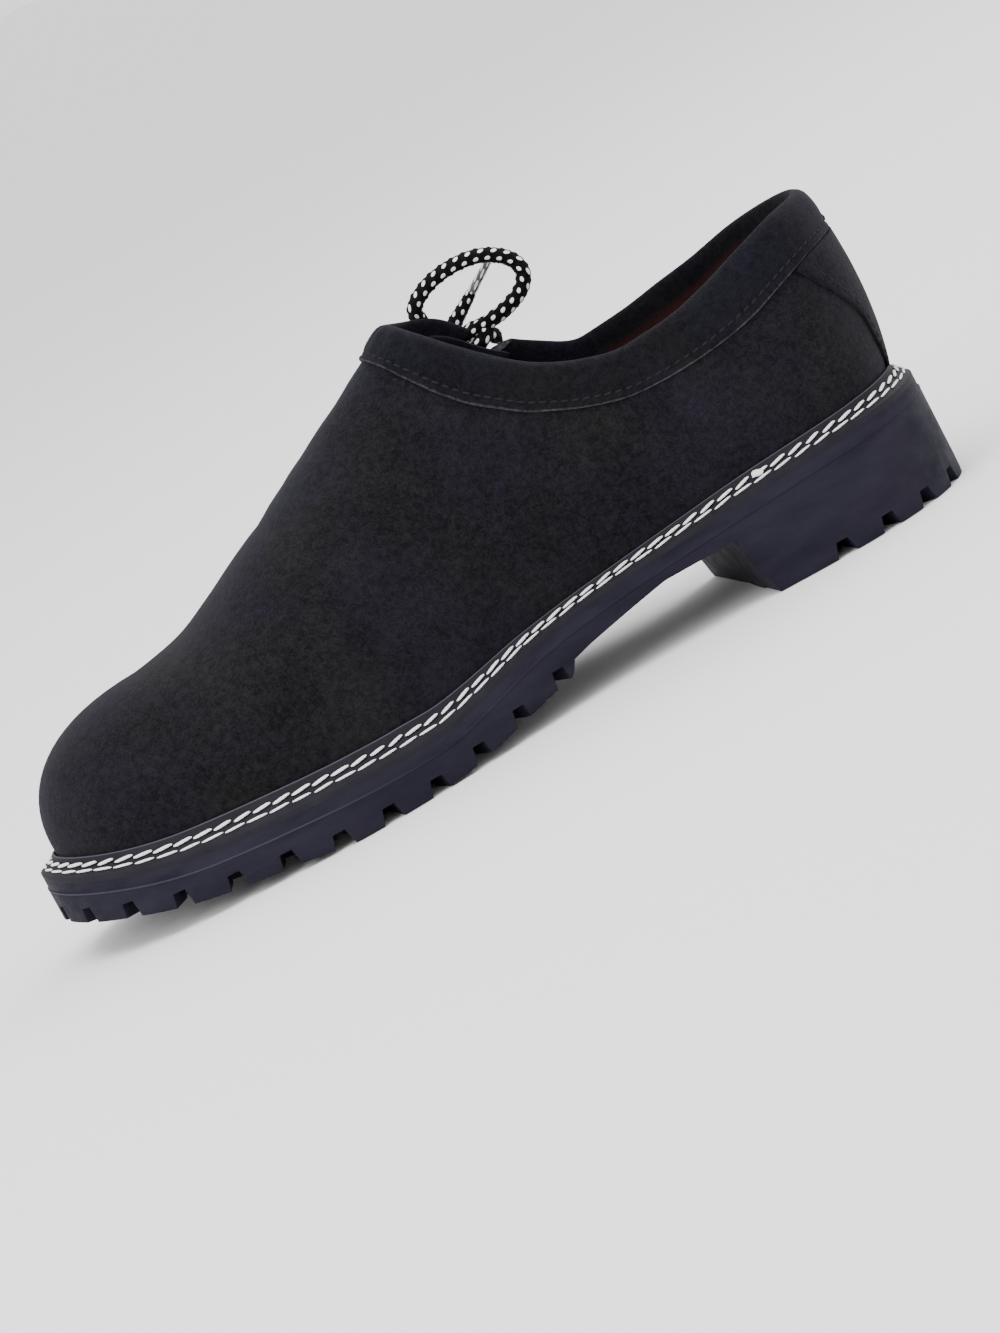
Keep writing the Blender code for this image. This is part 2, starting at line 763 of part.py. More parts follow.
def make_eyelet_cutters():
    """Round pins through the wall, square to it, at the four lace holes."""
    pins = []
    for along, across in EYELETS.values():
        low, high = (Vector(place_on_side(along, across, out)) for out in (-2 * CUT_MARGIN, 1.7 * CUT_MARGIN))
        turn = (high - low).to_track_quat("Z", "Y")
        round_off = [
            Vector((math.cos(a), math.sin(a), 0)) * EYELET_DIAMETER / 2
            for a in np.linspace(0, 2 * math.pi, 12, endpoint=False)
        ]
        pins.append([[end + turn @ p for p in round_off] for end in (low, high)])
    return solid("eyelet_pins", pins, CUTTERS)


def route(points, spacing):
    """Points about one spacing apart on a smooth curve through the given ones."""
    points = np.array(points, float)
    ends = np.vstack([2 * points[0] - points[1], points, 2 * points[-1] - points[-2]])
    fine = []
    for a, b, c, d in zip(ends, ends[1:], ends[2:], ends[3:]):
        t = np.linspace(0, 1, CURVE_STEPS, endpoint=False)[:, None]
        fine.append(
            0.5 * (2 * b + (c - a) * t + (2 * a - 5 * b + 4 * c - d) * t**2
                   + (3 * b - a - 3 * c + d) * t**3)
        )
    fine = np.vstack(fine + [points[-1:]])
    run = np.concatenate([[0], np.cumsum(np.linalg.norm(np.diff(fine, axis=0), axis=1))])
    at = np.linspace(0, run[-1], max(3, round(run[-1] / spacing) + 1))
    return np.stack([np.interp(at, run, fine[:, k]) for k in range(3)], axis=1)


def cord(name, points, diameter, look, swell=None):
    """A round cord along a line of points; swell gives each point's share of the diameter."""
    data = bpy.data.curves.new(name, "CURVE")
    data.dimensions = "3D"
    data.bevel_depth = diameter / 2
    data.bevel_resolution = 2
    data.use_fill_caps = True
    spline = data.splines.new("POLY")
    spline.points.add(len(points) - 1)
    for k, point in enumerate(points):
        spline.points[k].co = (*point, 1)
        spline.points[k].radius = swell[k] if swell is not None else 1.0
    return add_object(name, data, PARTS, look)


def make_lace():
    step = LACE_DIAMETER * 2
    over = LACE_DIAMETER / 2 + 1.6 * FIT_GAP
    front, rear = np.array(EYELETS["lower_front"]), np.array(EYELETS["lower_rear"])
    line = [place_on_side(*(front + (rear - front) * t), over) for t in np.linspace(0, 1, 6)]
    line = [place_on_side(*front, -FIT_GAP), *line, place_on_side(*rear, -FIT_GAP)]
    cord("lace_bar_lower", line, LACE_DIAMETER, LACE)
    knot = place_on_side(KNOT_ALONG, KNOT_ACROSS, KNOT_RISE)
    legs = []
    for name in ("upper_front", "upper_rear"):
        hole = EYELETS[name]
        legs.append([place_on_side(*hole, r) for r in (-FIT_GAP, over + COLLAR_SWELL)])
    ends = [knot + (legs[0][1] - knot) * 0.45, knot + (legs[1][1] - knot) * 0.45]
    line = [*legs[0], ends[0], knot, ends[1], *legs[1][::-1]]
    swell = [1, 1, 1.5, 2 * KNOT_SIZE / LACE_DIAMETER, 1.5, 1, 1]
    cord("lace_knot", line, LACE_DIAMETER, LACE, swell)
    for name, points in (("lace_loop_medial", LOOP_MEDIAL), ("lace_loop_lateral", LOOP_LATERAL)):
        cord(name, knot + route(points, step), LACE_DIAMETER, LACE)
    for side, points in (("medial", END_MEDIAL), ("lateral", END_LATERAL)):
        line = knot + route(points, step)
        cord(f"lace_end_{side}", line, LACE_DIAMETER, LACE)
        way = (line[-1] - line[-2]) / np.linalg.norm(line[-1] - line[-2])
        tip = [line[-1] + way * reach for reach in (FIT_GAP, AGLET_LENGTH / 2, AGLET_LENGTH)]
        cord(f"aglet_{side}", tip, AGLET_DIAMETER, AGLET)


def notch(place, inward):
    """A trapezoid block that opens one gap between two lugs."""
    root = underside(place[0]) + LUG_DEPTH
    along = np.array([-inward[1], inward[0]])
    sections = []
    for reach in (-CUT_MARGIN, NOTCH_REACH):
        point = place + inward * reach
        sections.append(
            [
                (*(point + along * side * width / 2), height)
                for side, width, height in (
                    (-1, NOTCH_MOUTH, -CUT_MARGIN),
                    (1, NOTCH_MOUTH, -CUT_MARGIN),
                    (1, NOTCH_ROOT, root),
                    (-1, NOTCH_ROOT, root),
                )
            ]
        )
    return sections


def channel(lines):
    """A groove in the tread between two lines in plan, following the underside."""
    return [
        [
            (*near, -CUT_MARGIN),
            (*far, -CUT_MARGIN),
            (*far, underside(far[0]) + CHANNEL_DEPTH),
            (*near, underside(near[0]) + CHANNEL_DEPTH),
        ]
        for near, far in zip(*lines)
    ]


def sole_edge():
    """The sole's edge in plan as a fine line, and its inward normals."""
    loop = closed_curve(SOLE_RING, 2400)
    tangent = np.roll(loop, -1, 0) - np.roll(loop, 1, 0)
    inward = np.stack([tangent[:, 1], -tangent[:, 0]], 1)
    return loop, inward / np.linalg.norm(inward, axis=1)[:, None]


def treaded_stretches():
    """The two stretches of the sole's edge that carry lugs, each as a fine line with its normals."""
    loop, inward = sole_edge()
    stretches = []
    for first, keep in (
        (int(loop[:, 0].argmax()), loop[:, 0] > TREAD_BACK * UPPER_LENGTH),
        (int(loop[:, 0].argmin()), loop[:, 0] < HEEL_BREAST * UPPER_LENGTH),
    ):
        turn = len(loop) // 2 - first
        kept = np.roll(keep, turn)
        stretches.append((np.roll(loop, turn, 0)[kept], np.roll(inward, turn, 0)[kept]))
    return stretches


def cut_tread(outsole):
    notches, rims = [], []
    for line, inward in treaded_stretches():
        run = np.concatenate([[0], np.cumsum(np.linalg.norm(np.diff(line, axis=0), axis=1))])
        for share in np.linspace(0, 1, int(run[-1] / LUG_PITCH) + 1):
            i = min(int(np.searchsorted(run, share * run[-1])), len(line) - 1)
            notches.append(notch(line[i], inward[i]))
        stops = 2 * round(run[-1] / CHANNEL_STEP / 2)
        steps = np.linspace(0, len(line) - 1, stops).astype(int)
        inner = line[steps] + inward[steps] * (NOTCH_REACH - FIT_GAP)
        rims.append(channel((inner, inner + inward[steps] * CHANNEL_WIDTH)))
    cut(outsole, solid("notches", notches, CUTTERS))
    cut(outsole, solid("rim_channels", rims, CUTTERS))
    bars = []
    for along in np.linspace(*CROSS_GROOVES, CROSS_GROOVE_COUNT):
        x = along * UPPER_LENGTH
        ends = [np.interp(x, b[:, 0], b[:, 1]) for b in (MEDIAL, LATERAL)]
        inset = NOTCH_REACH - WELT_WIDTH + CHANNEL_WIDTH / 2
        across = np.linspace(ends[0] - inset, ends[1] + inset, 2)
        near = [(x - NOTCH_ROOT / 2, y) for y in across]
        far = [(x + NOTCH_ROOT / 2, y) for y in across]
        bars.append(channel((near, far)))
    cut(outsole, solid("cross_grooves", bars, CUTTERS))


clear_scene()
SCENE = bpy.context.scene
PARTS = bpy.data.collections.new("traditional_shoe")
CUTTERS = bpy.data.collections.new("cutters")
SCENE.collection.children.link(PARTS)
SCENE.collection.children.link(CUTTERS)
SUEDE = material("black_suede", (0.013, 0.012, 0.017), 0.92)
SUEDE_COLLAR = material("collar_suede", (0.015, 0.014, 0.019), 0.9)
LINING = material("lining", (0.10, 0.045, 0.03), 0.7)
WELT_LEATHER = material("welt", (0.03, 0.029, 0.034), 0.6)
MIDSOLE_RUBBER = material("midsole", (0.026, 0.024, 0.034), 0.55)
RUBBER = material("outsole", (0.018, 0.016, 0.024), 0.6)
LACE = material("lace", (0.03, 0.03, 0.032), 0.8)
AGLET = material("aglet", (0.25, 0.25, 0.26), 0.3)

upper = make_upper()
collar = make_collar()
make_welt()
make_heel_stay()
inside = -(UPPER_WALL + 2 * FIT_GAP)
slab("insole", inside, lambda x: bed(x) + 2 * FIT_GAP, lambda x: bed(x) + 2 * FIT_GAP + INSOLE_THICKNESS, LINING)
slab("midsole", WELT_WIDTH, lambda x: bed(x) - MIDSOLE_THICKNESS, bed, MIDSOLE_RUBBER)
outsole = slab("outsole", WELT_WIDTH + SOLE_MARGIN, underside, outsole_top, RUBBER)
cut_tread(outsole)
make_tongue()
slit = make_slit_cutter()
holes = make_eyelet_cutters()
for piece in (upper, collar):
    cut(piece, slit)
    cut(piece, holes)
make_lace()
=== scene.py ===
"""A side-laced suede folk shoe for the right foot, dressed over its frame."""

import math

import bmesh
import bpy
import numpy as np
from mathutils import Matrix, Vector


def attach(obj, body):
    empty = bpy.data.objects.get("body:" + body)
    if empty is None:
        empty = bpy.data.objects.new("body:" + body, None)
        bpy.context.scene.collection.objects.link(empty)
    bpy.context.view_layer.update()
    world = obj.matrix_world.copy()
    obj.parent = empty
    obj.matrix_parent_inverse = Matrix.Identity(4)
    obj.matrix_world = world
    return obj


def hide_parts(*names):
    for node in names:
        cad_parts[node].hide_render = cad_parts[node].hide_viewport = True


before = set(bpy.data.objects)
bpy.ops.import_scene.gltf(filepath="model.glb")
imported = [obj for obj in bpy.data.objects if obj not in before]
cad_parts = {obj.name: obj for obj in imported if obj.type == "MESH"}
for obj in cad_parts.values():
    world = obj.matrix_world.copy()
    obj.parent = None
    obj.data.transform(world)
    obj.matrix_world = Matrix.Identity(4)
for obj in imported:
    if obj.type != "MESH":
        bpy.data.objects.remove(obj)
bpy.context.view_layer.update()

# The camera stands where the photograph was taken from, on the shoe's inner side and a little above it. It is
# turned about its own axis, so that the toe points down to the left, and its lens takes in the whole shoe.
AIM = Vector((0.0013, 0.0014, 0.0148))
CAMERA_PLACE = Vector((0.2030, 1.4673, 0.2605))
CAMERA_ROLL = math.radians(-28.0)
camera_data = bpy.data.cameras.new("camera")
camera_data.sensor_fit = "VERTICAL"
camera_data.sensor_height = 36
camera_data.lens = 136.5
camera_data.clip_start = 0.05
camera = bpy.data.objects.new("camera", camera_data)
bpy.context.scene.collection.objects.link(camera)
facing = (CAMERA_PLACE - AIM).to_track_quat("Z", "Y").to_matrix().to_4x4()
camera.matrix_world = Matrix.Translation(CAMERA_PLACE) @ facing @ Matrix.Rotation(CAMERA_ROLL, 4, "Z")
bpy.context.scene.camera = camera


# The lace is one round braid of black yarn with light flecks, 4.7 mm thick and limp. It runs through the four
# holes beside the slit: a bar across the slit below, and above it the bow, whose knot sits on the collar's
# seam. The inner loop stands up over the topline, the outer one and its end hang down outside.
LACE_DIAMETER = 0.0047
LACE_STEP = 0.0005
FLECK_PITCH = 0.0037
FLECK_ROWS = 6
CORD_SIDES = 18
BRAID_LOW = 0.86
BRAID_TOOTH = 0.24
TOOTH_CREST = 0.7
ROUNDED_END = 0.8
PRESSED_THIN = 0.66
MERGE = 0.00001
KNOT = np.array([-0.033214, -0.033892, 0.099808])
LOOP_MEDIAL = [
    (-0.0008, 0.0008, 0.0076),
    (0.0018, 0.0030, 0.0125),
    (0.0024, 0.0060, 0.0178),
    (-0.0040, 0.0080, 0.0222),
    (-0.0130, 0.0090, 0.0238),
    (-0.0220, 0.0096, 0.0226),
    (-0.0290, 0.0100, 0.0182),
    (-0.0312, 0.0102, 0.0128),
    (-0.0285, 0.0096, 0.0080),
    (-0.0220, 0.0080, 0.0048),
    (-0.0150, 0.0050, 0.0034),
    (-0.0084, 0.0024, 0.0026),
]
LOOP_LATERAL = [
    (0.0042, -0.0027, -0.0070),
    (0.0068, -0.0058, -0.0150),
    (0.0092, -0.0082, -0.0270),
    (0.0115, -0.0105, -0.0390),
    (0.0140, -0.0125, -0.0500),
    (0.0185, -0.0138, -0.0575),
    (0.0245, -0.0140, -0.0580),
    (0.0280, -0.0132, -0.0520),
    (0.0272, -0.0115, -0.0420),
    (0.0230, -0.0095, -0.0300),
    (0.0180, -0.0065, -0.0180),
    (0.0138, -0.0036, -0.0086),
    (0.0086, -0.0012, -0.0018),
]
END_MEDIAL = [
    (0.0080, 0.0030, -0.0070),
    (0.0040, 0.0010, -0.0020),
    (-0.0010, -0.0012, 0.0020),
    (-0.0042, -0.0020, 0.0048),
    (-0.0085, -0.0022, 0.0078),
    (-0.0130, -0.0016, 0.0108),
    (-0.0165, -0.0010, 0.0132),
]
END_LATERAL = [
    (-0.0010, -0.0066, -0.0073),
    (-0.0040, -0.0092, -0.0170),
    (-0.0060, -0.0110, -0.0300),
    (-0.0060, -0.0125, -0.0420),
    (-0.0045, -0.0155, -0.0540),
    (-0.0020, -0.0182, -0.0650),
    (0.0005, -0.0195, -0.0740),
]
HOLES = {
    # where the lace goes in, and where it lies just outside the hole
    "upper_front": ((-0.02814, -0.02140, 0.10527), (-0.02777, -0.02554, 0.10754)),
    "upper_rear": ((-0.03548, -0.02986, 0.08446), (-0.03575, -0.03439, 0.08580)),
}
LOWER_BAR = [
    (-0.00300, -0.02070, 0.09520),
    (-0.00260, -0.02323, 0.09681),
    (-0.00211, -0.02566, 0.09873),
    (-0.00096, -0.02841, 0.09476),
    (0.00021, -0.03105, 0.09057),
    (0.00139, -0.03355, 0.08617),
    (0.00257, -0.03591, 0.08157),
    (0.00375, -0.03811, 0.07679),
    (0.00369, -0.03525, 0.07553),
    (0.00360, -0.03250, 0.07440),
]


def grid_mesh(columns, rows, place):
    """A surface bent from a flat grid by a function of its column and row numbers, with its UV."""
    mesh = bmesh.new()
    bmesh.ops.create_grid(mesh, x_segments=columns, y_segments=rows, size=1)
    flat = np.array([v.co[:2] for v in mesh.verts])
    share = (flat - flat.min(0)) / (flat.max(0) - flat.min(0))
    uv = mesh.loops.layers.uv.new("UVMap")
    for face in mesh.faces:
        for loop in face.loops:
            loop[uv].uv = share[loop.vert.index]
    number = np.rint(share * [columns, rows]).astype(int)
    for vert, spot in zip(mesh.verts, place(number[:, 0], number[:, 1])):
        vert.co = spot
    bmesh.ops.remove_doubles(mesh, verts=mesh.verts, dist=MERGE)
    bmesh.ops.dissolve_degenerate(mesh, dist=MERGE / 10, edges=mesh.edges)
    bmesh.ops.recalc_face_normals(mesh, faces=mesh.faces)
    return mesh


def make_piece(name, mesh, look, sharp=None):
    data = bpy.data.meshes.new(name)
    mesh.to_mesh(data)
    mesh.free()
    data.shade_smooth()
    if sharp:
        data.set_sharp_from_angle(angle=math.radians(sharp))
    piece = bpy.data.objects.new(name, data)
    bpy.context.scene.collection.objects.link(piece)
    data.materials.append(look)
    return piece


def node(tree, kind, inputs=(), **settings):
    """One shader node: its settings, and its inputs as values or as sockets to link."""
    made = tree.nodes.new(kind)
    for key, value in settings.items():
        setattr(made, key, value)
    for key, value in dict(inputs).items():
        if isinstance(value, bpy.types.NodeSocket):
            tree.links.new(value, made.inputs[key])
        else:
            made.inputs[key].default_value = value
    return made


def maths(tree, operation, *values):
    return node(tree, "ShaderNodeMath", dict(enumerate(values)), operation=operation).outputs[0]


def weighted(tree, first, share, second, other):
    """The sum of two values, each by its own weight."""
    return maths(tree, "ADD", maths(tree, "MULTIPLY", first, share), maths(tree, "MULTIPLY", second, other))


def ranged(tree, value, low, high, first=0.0, last=1.0):
    """A value stretched over a range, and held at its two ends."""
    return node(tree, "ShaderNodeMapRange", {0: value, 1: low, 2: high, 3: first, 4: last}).outputs[0]


def mixed(tree, factor, dark, light):
    """Two colours mixed by a factor; each is three numbers or a socket."""
    colours = [c if isinstance(c, bpy.types.NodeSocket) else (*c, 1) for c in (dark, light)]
    return node(tree, "ShaderNodeMix", {0: factor, 6: colours[0], 7: colours[1]}, data_type="RGBA").outputs[2]


def new_group(name, takes, gives):
    """A shader node group of plain values: what it takes, with its defaults, and what it gives."""
    tree = bpy.data.node_groups.new(name, "ShaderNodeTree")
    for label, value in takes.items():
        socket = tree.interface.new_socket(label, in_out="INPUT", socket_type="NodeSocketFloat")
        socket.default_value = value
    for label in gives:
        tree.interface.new_socket(label, in_out="OUTPUT", socket_type="NodeSocketFloat")
    return tree, node(tree, "NodeGroupInput").outputs


def give(tree, **values):
    """Leads a group's results to its outputs."""
    node(tree, "NodeGroupOutput", values)
    return tree


def new_look(name, **shader):
    """A material with its own Principled shader, and the constants that are set on it."""
    look = bpy.data.materials.new(name)
    look.use_nodes = True
    bsdf = look.node_tree.nodes["Principled BSDF"]
    for key, value in shader.items():
        bsdf.inputs[key.replace("_", " ")].default_value = value
    return look, look.node_tree, bsdf


def surface(tree, bsdf, colour, height, strength, distance):
    """Puts a colour and a bump on a material's shader."""
    bump = node(tree, "ShaderNodeBump", {"Height": height, "Strength": strength, "Distance": distance})
    tree.links.new(colour, bsdf.inputs["Base Color"])
    tree.links.new(bump.outputs[0], bsdf.inputs["Normal"])


def along_uv(tree):
    """The two numbers of a piece's own UV."""
    return node(tree, "ShaderNodeSeparateXYZ", {0: node(tree, "ShaderNodeUVMap").outputs[0]}).outputs


def fleck_pattern():
    """Flecks in staggered rows round a cord, from its UV: along it in fleck lengths, and once round it."""
    tree, takes = new_group("braid_flecks", {"Rows": FLECK_ROWS, "Size": 0.4}, ("Fleck", "Strand"))
    spot = along_uv(tree)
    around = maths(tree, "MULTIPLY", spot[0], takes["Rows"])
    stagger = maths(tree, "MULTIPLY", maths(tree, "MODULO", maths(tree, "FLOOR", around), 2.0), 0.5)
    along = maths(tree, "FRACT", maths(tree, "ADD", spot[1], stagger))
    across = maths(tree, "SUBTRACT", maths(tree, "FRACT", around), 0.5)
    lengthways = maths(tree, "SUBTRACT", along, 0.5)
    slant = weighted(tree, across, 1.0, lengthways, 0.35)
    narrow = maths(tree, "POWER", maths(tree, "DIVIDE", slant, 0.27), 2.0)
    long = maths(tree, "POWER", maths(tree, "DIVIDE", lengthways, takes["Size"]), 2.0)
    edge = ranged(tree, maths(tree, "ADD", narrow, long), 0.75, 1.0, 1.0, 0.0)
    yarn = maths(tree, "SINE", maths(tree, "MULTIPLY", maths(tree, "ADD", spot[1], around), 40.0))
    return give(tree, Fleck=edge, Strand=yarn)


BRAID_FLECKS = fleck_pattern()


def lace_look(name, dark, light, size, **shader):
    look, tree, bsdf = new_look(name, **shader)
    fleck, strand = node(tree, "ShaderNodeGroup", {"Size": size}, node_tree=BRAID_FLECKS).outputs
    height = weighted(tree, fleck, 1.0, strand, 0.15)
    surface(tree, bsdf, mixed(tree, fleck, dark, light), height, 0.6, 0.0003)
    return look


lace_black = lace_look(
    "lace", (0.0030, 0.0030, 0.0045), (0.90, 0.89, 0.87), 0.24, Roughness=0.85, Specular_IOR_Level=0.10)
aglet_clear = lace_look(
    "aglet", (0.02, 0.02, 0.025), (0.75, 0.74, 0.72), 0.42, Roughness=0.18, Coat_Weight=0.8)


def run_along(line):
    """How far along a line each of its points lies."""
    return np.concatenate([[0], np.cumsum(np.linalg.norm(np.diff(line, axis=0), axis=1))])


def unit(ways):
    return ways / np.linalg.norm(ways, axis=-1, keepdims=True)


def route(points):
    """Points one lace step apart on a smooth curve through the given ones."""
    points = np.array(points, float)
    ends = np.vstack([2 * points[0] - points[1], points, 2 * points[-1] - points[-2]])
    t = np.linspace(0, 1, 40, endpoint=False)[:, None]
    fine = [
        0.5 * (2 * b + (c - a) * t + (2 * a - 5 * b + 4 * c - d) * t**2 + (3 * b - a - 3 * c + d) * t**3)
        for a, b, c, d in zip(ends, ends[1:], ends[2:], ends[3:])
    ]
    fine = np.vstack(fine + [points[-1:]])
    run = run_along(fine)
    at = np.linspace(0, run[-1], max(3, round(run[-1] / LACE_STEP) + 1))
    return np.stack([np.interp(at, run, fine[:, k]) for k in range(3)], axis=1)


def lace_piece(name, line, diameter, look, pressed=0.0):
    """A braid along a line: its flecks stand out as teeth, and it is pressed thin over its last stretch."""
    line = np.asarray(line)
    ahead = unit(np.gradient(line, axis=0))
    side = np.cross(ahead[0], [0.3, 0.5, 0.8])
    sides = []
    for way in ahead:
        side = unit(side - way * (side @ way))
        sides.append(side)
    others = np.cross(ahead, sides)
    sides = np.array(sides)
    run = run_along(line)
    count = len(line)
    slim = np.interp(run[-1] - run, [0.0, pressed], [PRESSED_THIN, 1.0]) if pressed else np.ones(count)

    def place(i, j):
        turn = 2 * math.pi * i / CORD_SIDES
        inner = np.clip(j - 1, 0, count - 1)
        row = np.floor(i * FLECK_ROWS / CORD_SIDES)
        tooth = (run[inner] / FLECK_PITCH + row % 2 * 0.5) % 1.0
        tooth = np.where(tooth < TOOTH_CREST, tooth / TOOTH_CREST, (1 - tooth) / (1 - TOOTH_CREST))
        radius = diameter / 2 * (BRAID_LOW + BRAID_TOOTH * tooth) * slim[inner]
        radius = np.where((j == 0) | (j == count + 1), 0.0, radius)
        radius = np.where((inner == 0) | (inner == count - 1), radius * ROUNDED_END, radius)
        out = np.cos(turn)[:, None] * sides[inner] + np.sin(turn)[:, None] * others[inner]
        return line[inner] + out * radius[:, None]

    mesh = grid_mesh(CORD_SIDES, count + 1, place)
    uv = mesh.loops.layers.uv.active
    for face in mesh.faces:
        for loop in face.loops:
            loop[uv].uv.y = loop[uv].uv.y * run[-1] / FLECK_PITCH
    return make_piece(name, mesh, look)


KNOT_CROWN = np.array([-0.0104, 0.0024, -0.0003])
KNOT_WRAPS = [
    # middle, turns, width, reach
    (KNOT, 2.0, 0.0075, 0.0034),
    (KNOT + KNOT_CROWN, 1.5, 0.0062, 0.0048),
]
KNOT_LEAD = 0.45
KNOT_START = 0.6
KNOT_HEIGHT = 0.0031
KNOT_UP = np.array([-0.05, -0.85, 0.52])


def knot_lines():
    """From the upper front hole over the bow's two wraps to the upper rear hole."""
    start, over = (np.array(p) for p in HOLES["upper_front"])
    end, under = (np.array(p) for p in HOLES["upper_rear"])
    across = unit(over - under)
    lift = unit(KNOT_UP - across * (KNOT_UP @ across))
    along = np.cross(across, lift)
    turn = np.linspace(0.0, 1.0, 60)[:, None]
    yield route([start, over, KNOT + (over - KNOT) * KNOT_LEAD])
    for middle, turns, width, reach in KNOT_WRAPS:
        angle = turn * 2 * math.pi * turns + KNOT_START
        yield (middle + lift * np.sin(angle) * KNOT_HEIGHT + along * np.cos(angle) * reach
               + across * (0.5 - turn) * width)
    yield route([KNOT + (under - KNOT) * KNOT_LEAD, under, end])


def join(name, parts):
    """One piece made of several, with their UV maps kept."""
    mesh = bmesh.new()
    for part in parts:
        mesh.from_mesh(part.data)
    look = parts[0].data.materials[0]
    for part in parts:
        bpy.data.objects.remove(part, do_unlink=True)
    return make_piece(name, mesh, look)


knot = join("knot", [
    lace_piece(f"knot_{k}", route(line), LACE_DIAMETER, lace_black)
    for k, line in enumerate(knot_lines())
])
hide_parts("lace_knot")
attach(knot, "root")

lower_bar = lace_piece("lower_bar", route(LOWER_BAR), LACE_DIAMETER, lace_black)
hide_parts("lace_bar_lower")
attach(lower_bar, "root")

for side, points in (("medial", LOOP_MEDIAL), ("lateral", LOOP_LATERAL)):
    line = KNOT + route(points)
    loop_piece = lace_piece(f"loop_{side}", line, LACE_DIAMETER, lace_black)
    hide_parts(f"lace_loop_{side}")
    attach(loop_piece, "root")

AGLET_DIAMETER = 0.00289
AGLET_LENGTH = 0.0150
AGLET_OVERLAP = 0.0010
PRESSED_END = 0.0110
for side, points in (("medial", END_MEDIAL), ("lateral", END_LATERAL)):
    line = KNOT + route(points)
    way = unit(line[-1] - line[-8])
    end_piece = lace_piece(f"end_{side}", line, LACE_DIAMETER, lace_black, PRESSED_END)
    tip_line = [line[-1] + way * reach for reach in np.linspace(-AGLET_OVERLAP, AGLET_LENGTH, 34)]
    aglet = lace_piece(f"tip_{side}", tip_line, AGLET_DIAMETER, aglet_clear, AGLET_LENGTH)
    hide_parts(f"lace_end_{side}")
    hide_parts(f"aglet_{side}")
    for piece, finish in ((end_piece, "lace"), (aglet, "aglet")):
        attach(piece, "root")


# The upper is one hollow shell of black suede of about 2 mm, pulled over a wooden last and nailed down round
# its edge before the welt is sewn. Its form comes from the last: an outline, a ridge over the instep and the
# toe box, and one curve from the edge up to the ridge at every place along the foot.
LAST_LENGTH = 0.284
BALL_WIDTH = 0.097
HEEL_WIDTH = 0.064
INSTEP_HEIGHT = 0.099
TOE_BOX_HEIGHT = 0.0499
HEEL_FLARE = 0.017
SIDE_FLARE = 0.008
UPPER_WALL = 0.0022
FIT_GAP = 0.0003
HEEL_STACK = 0.0318
BALL_STACK = 0.0141
TOE_SPRING = 0.0110
WELT_HEIGHT = 0.0073
TO_MIDDLE = np.array([-0.142, 0.0013945, 0.0])
HEEL_ROWS = [
    # along, and medial and lateral as shares of the heel's width
    (0.000, 0.000, 0.000),
    (0.020, 0.255, 0.255),
    (0.058, 0.408, 0.408),
    (0.120, 0.495, 0.495),
    (0.215, 0.490, 0.505),
]
BALL_ROWS = [
    # along, and medial and lateral as shares of the ball's width
    (0.324, 0.306, 0.360),
    (0.430, 0.325, 0.415),
    (0.535, 0.393, 0.478),
    (0.640, 0.462, 0.518),
    (0.735, 0.492, 0.508),
    (0.838, 0.438, 0.440),
    (0.922, 0.372, 0.325),
    (0.976, 0.248, 0.170),
    (1.000, 0.040, -0.040),
]
BED = [
    # along, heel, toe, welt
    (-0.05, 1.02, 0.00, 0.90),
    (0.070, 0.965, 0.00, 0.83),
    (0.194, 0.860, 0.00, 0.78),
    (0.290, 0.740, 0.00, 0.66),
    (0.390, 0.620, 0.00, 0.55),
    (0.461, 0.500, 0.00, 0.56),
    (0.500, 0.395, 0.00, 0.63),
    (0.546, 0.210, 0.00, 0.77),
    (0.604, 0.020, 0.00, 0.93),
    (0.650, 0.000, 0.00, 1.00),
    (0.710, 0.000, 0.05, 1.00),
    (0.775, 0.000, 0.13, 1.00),
    (0.850, 0.000, 0.23, 1.00),
    (0.900, 0.000, 0.36, 0.98),
    (0.940, 0.000, 0.55, 0.96),
    (1.000, 0.000, 0.95, 0.93),
    (1.040, 0.000, 1.25, 0.90),
]
CREST = [
    # along, instep, toe_box
    (0.120, 1.24, 0.00),
    (0.290, 1.19, 0.00),
    (0.375, 1.085, 0.00),
    (0.429, 1.004, 0.00),
    (0.470, 0.945, 0.00),
    (0.515, 0.898, 0.00),
    (0.554, 0.852, 0.03),
    (0.613, 0.742, 0.13),
    (0.650, 0.545, 0.40),
    (0.702, 0.345, 0.64),
    (0.740, 0.196, 0.81),
    (0.778, 0.079, 0.93),
    (0.838, 0.000, 1.00),
]
RIBS = [
    # along, fullest, crown, flare
    (0.000, 0.42, 0.72, 1.00),
    (0.060, 0.44, 0.60, 0.85),
    (0.120, 0.46, 0.45, 0.45),
    (0.215, 0.48, 0.36, 0.30),
    (0.370, 0.50, 0.42, 0.15),
    (0.460, 0.50, 0.55, 0.10),
    (0.560, 0.52, 0.62, 0.06),
    (0.700, 0.56, 0.66, 0.10),
    (0.838, 0.60, 0.72, 0.16),
    (0.940, 0.62, 0.74, 0.16),
    (1.000, 0.62, 0.74, 0.16),
]
TOPLINE = [
    # along, medial, lateral
    (0.000, 0.660, 0.660),
    (0.050, 0.654, 0.634),
    (0.100, 0.620, 0.603),
    (0.150, 0.583, 0.589),
    (0.190, 0.562, 0.578),
    (0.245, 0.559, 0.577),
    (0.295, 0.597, 0.649),
    (0.345, 0.675, 0.760),
    (0.382, 0.771, 0.872),
    (0.404, 0.838, 0.915),
    (0.424, 0.906, 0.945),
    (0.445, 0.980, 0.980),
]
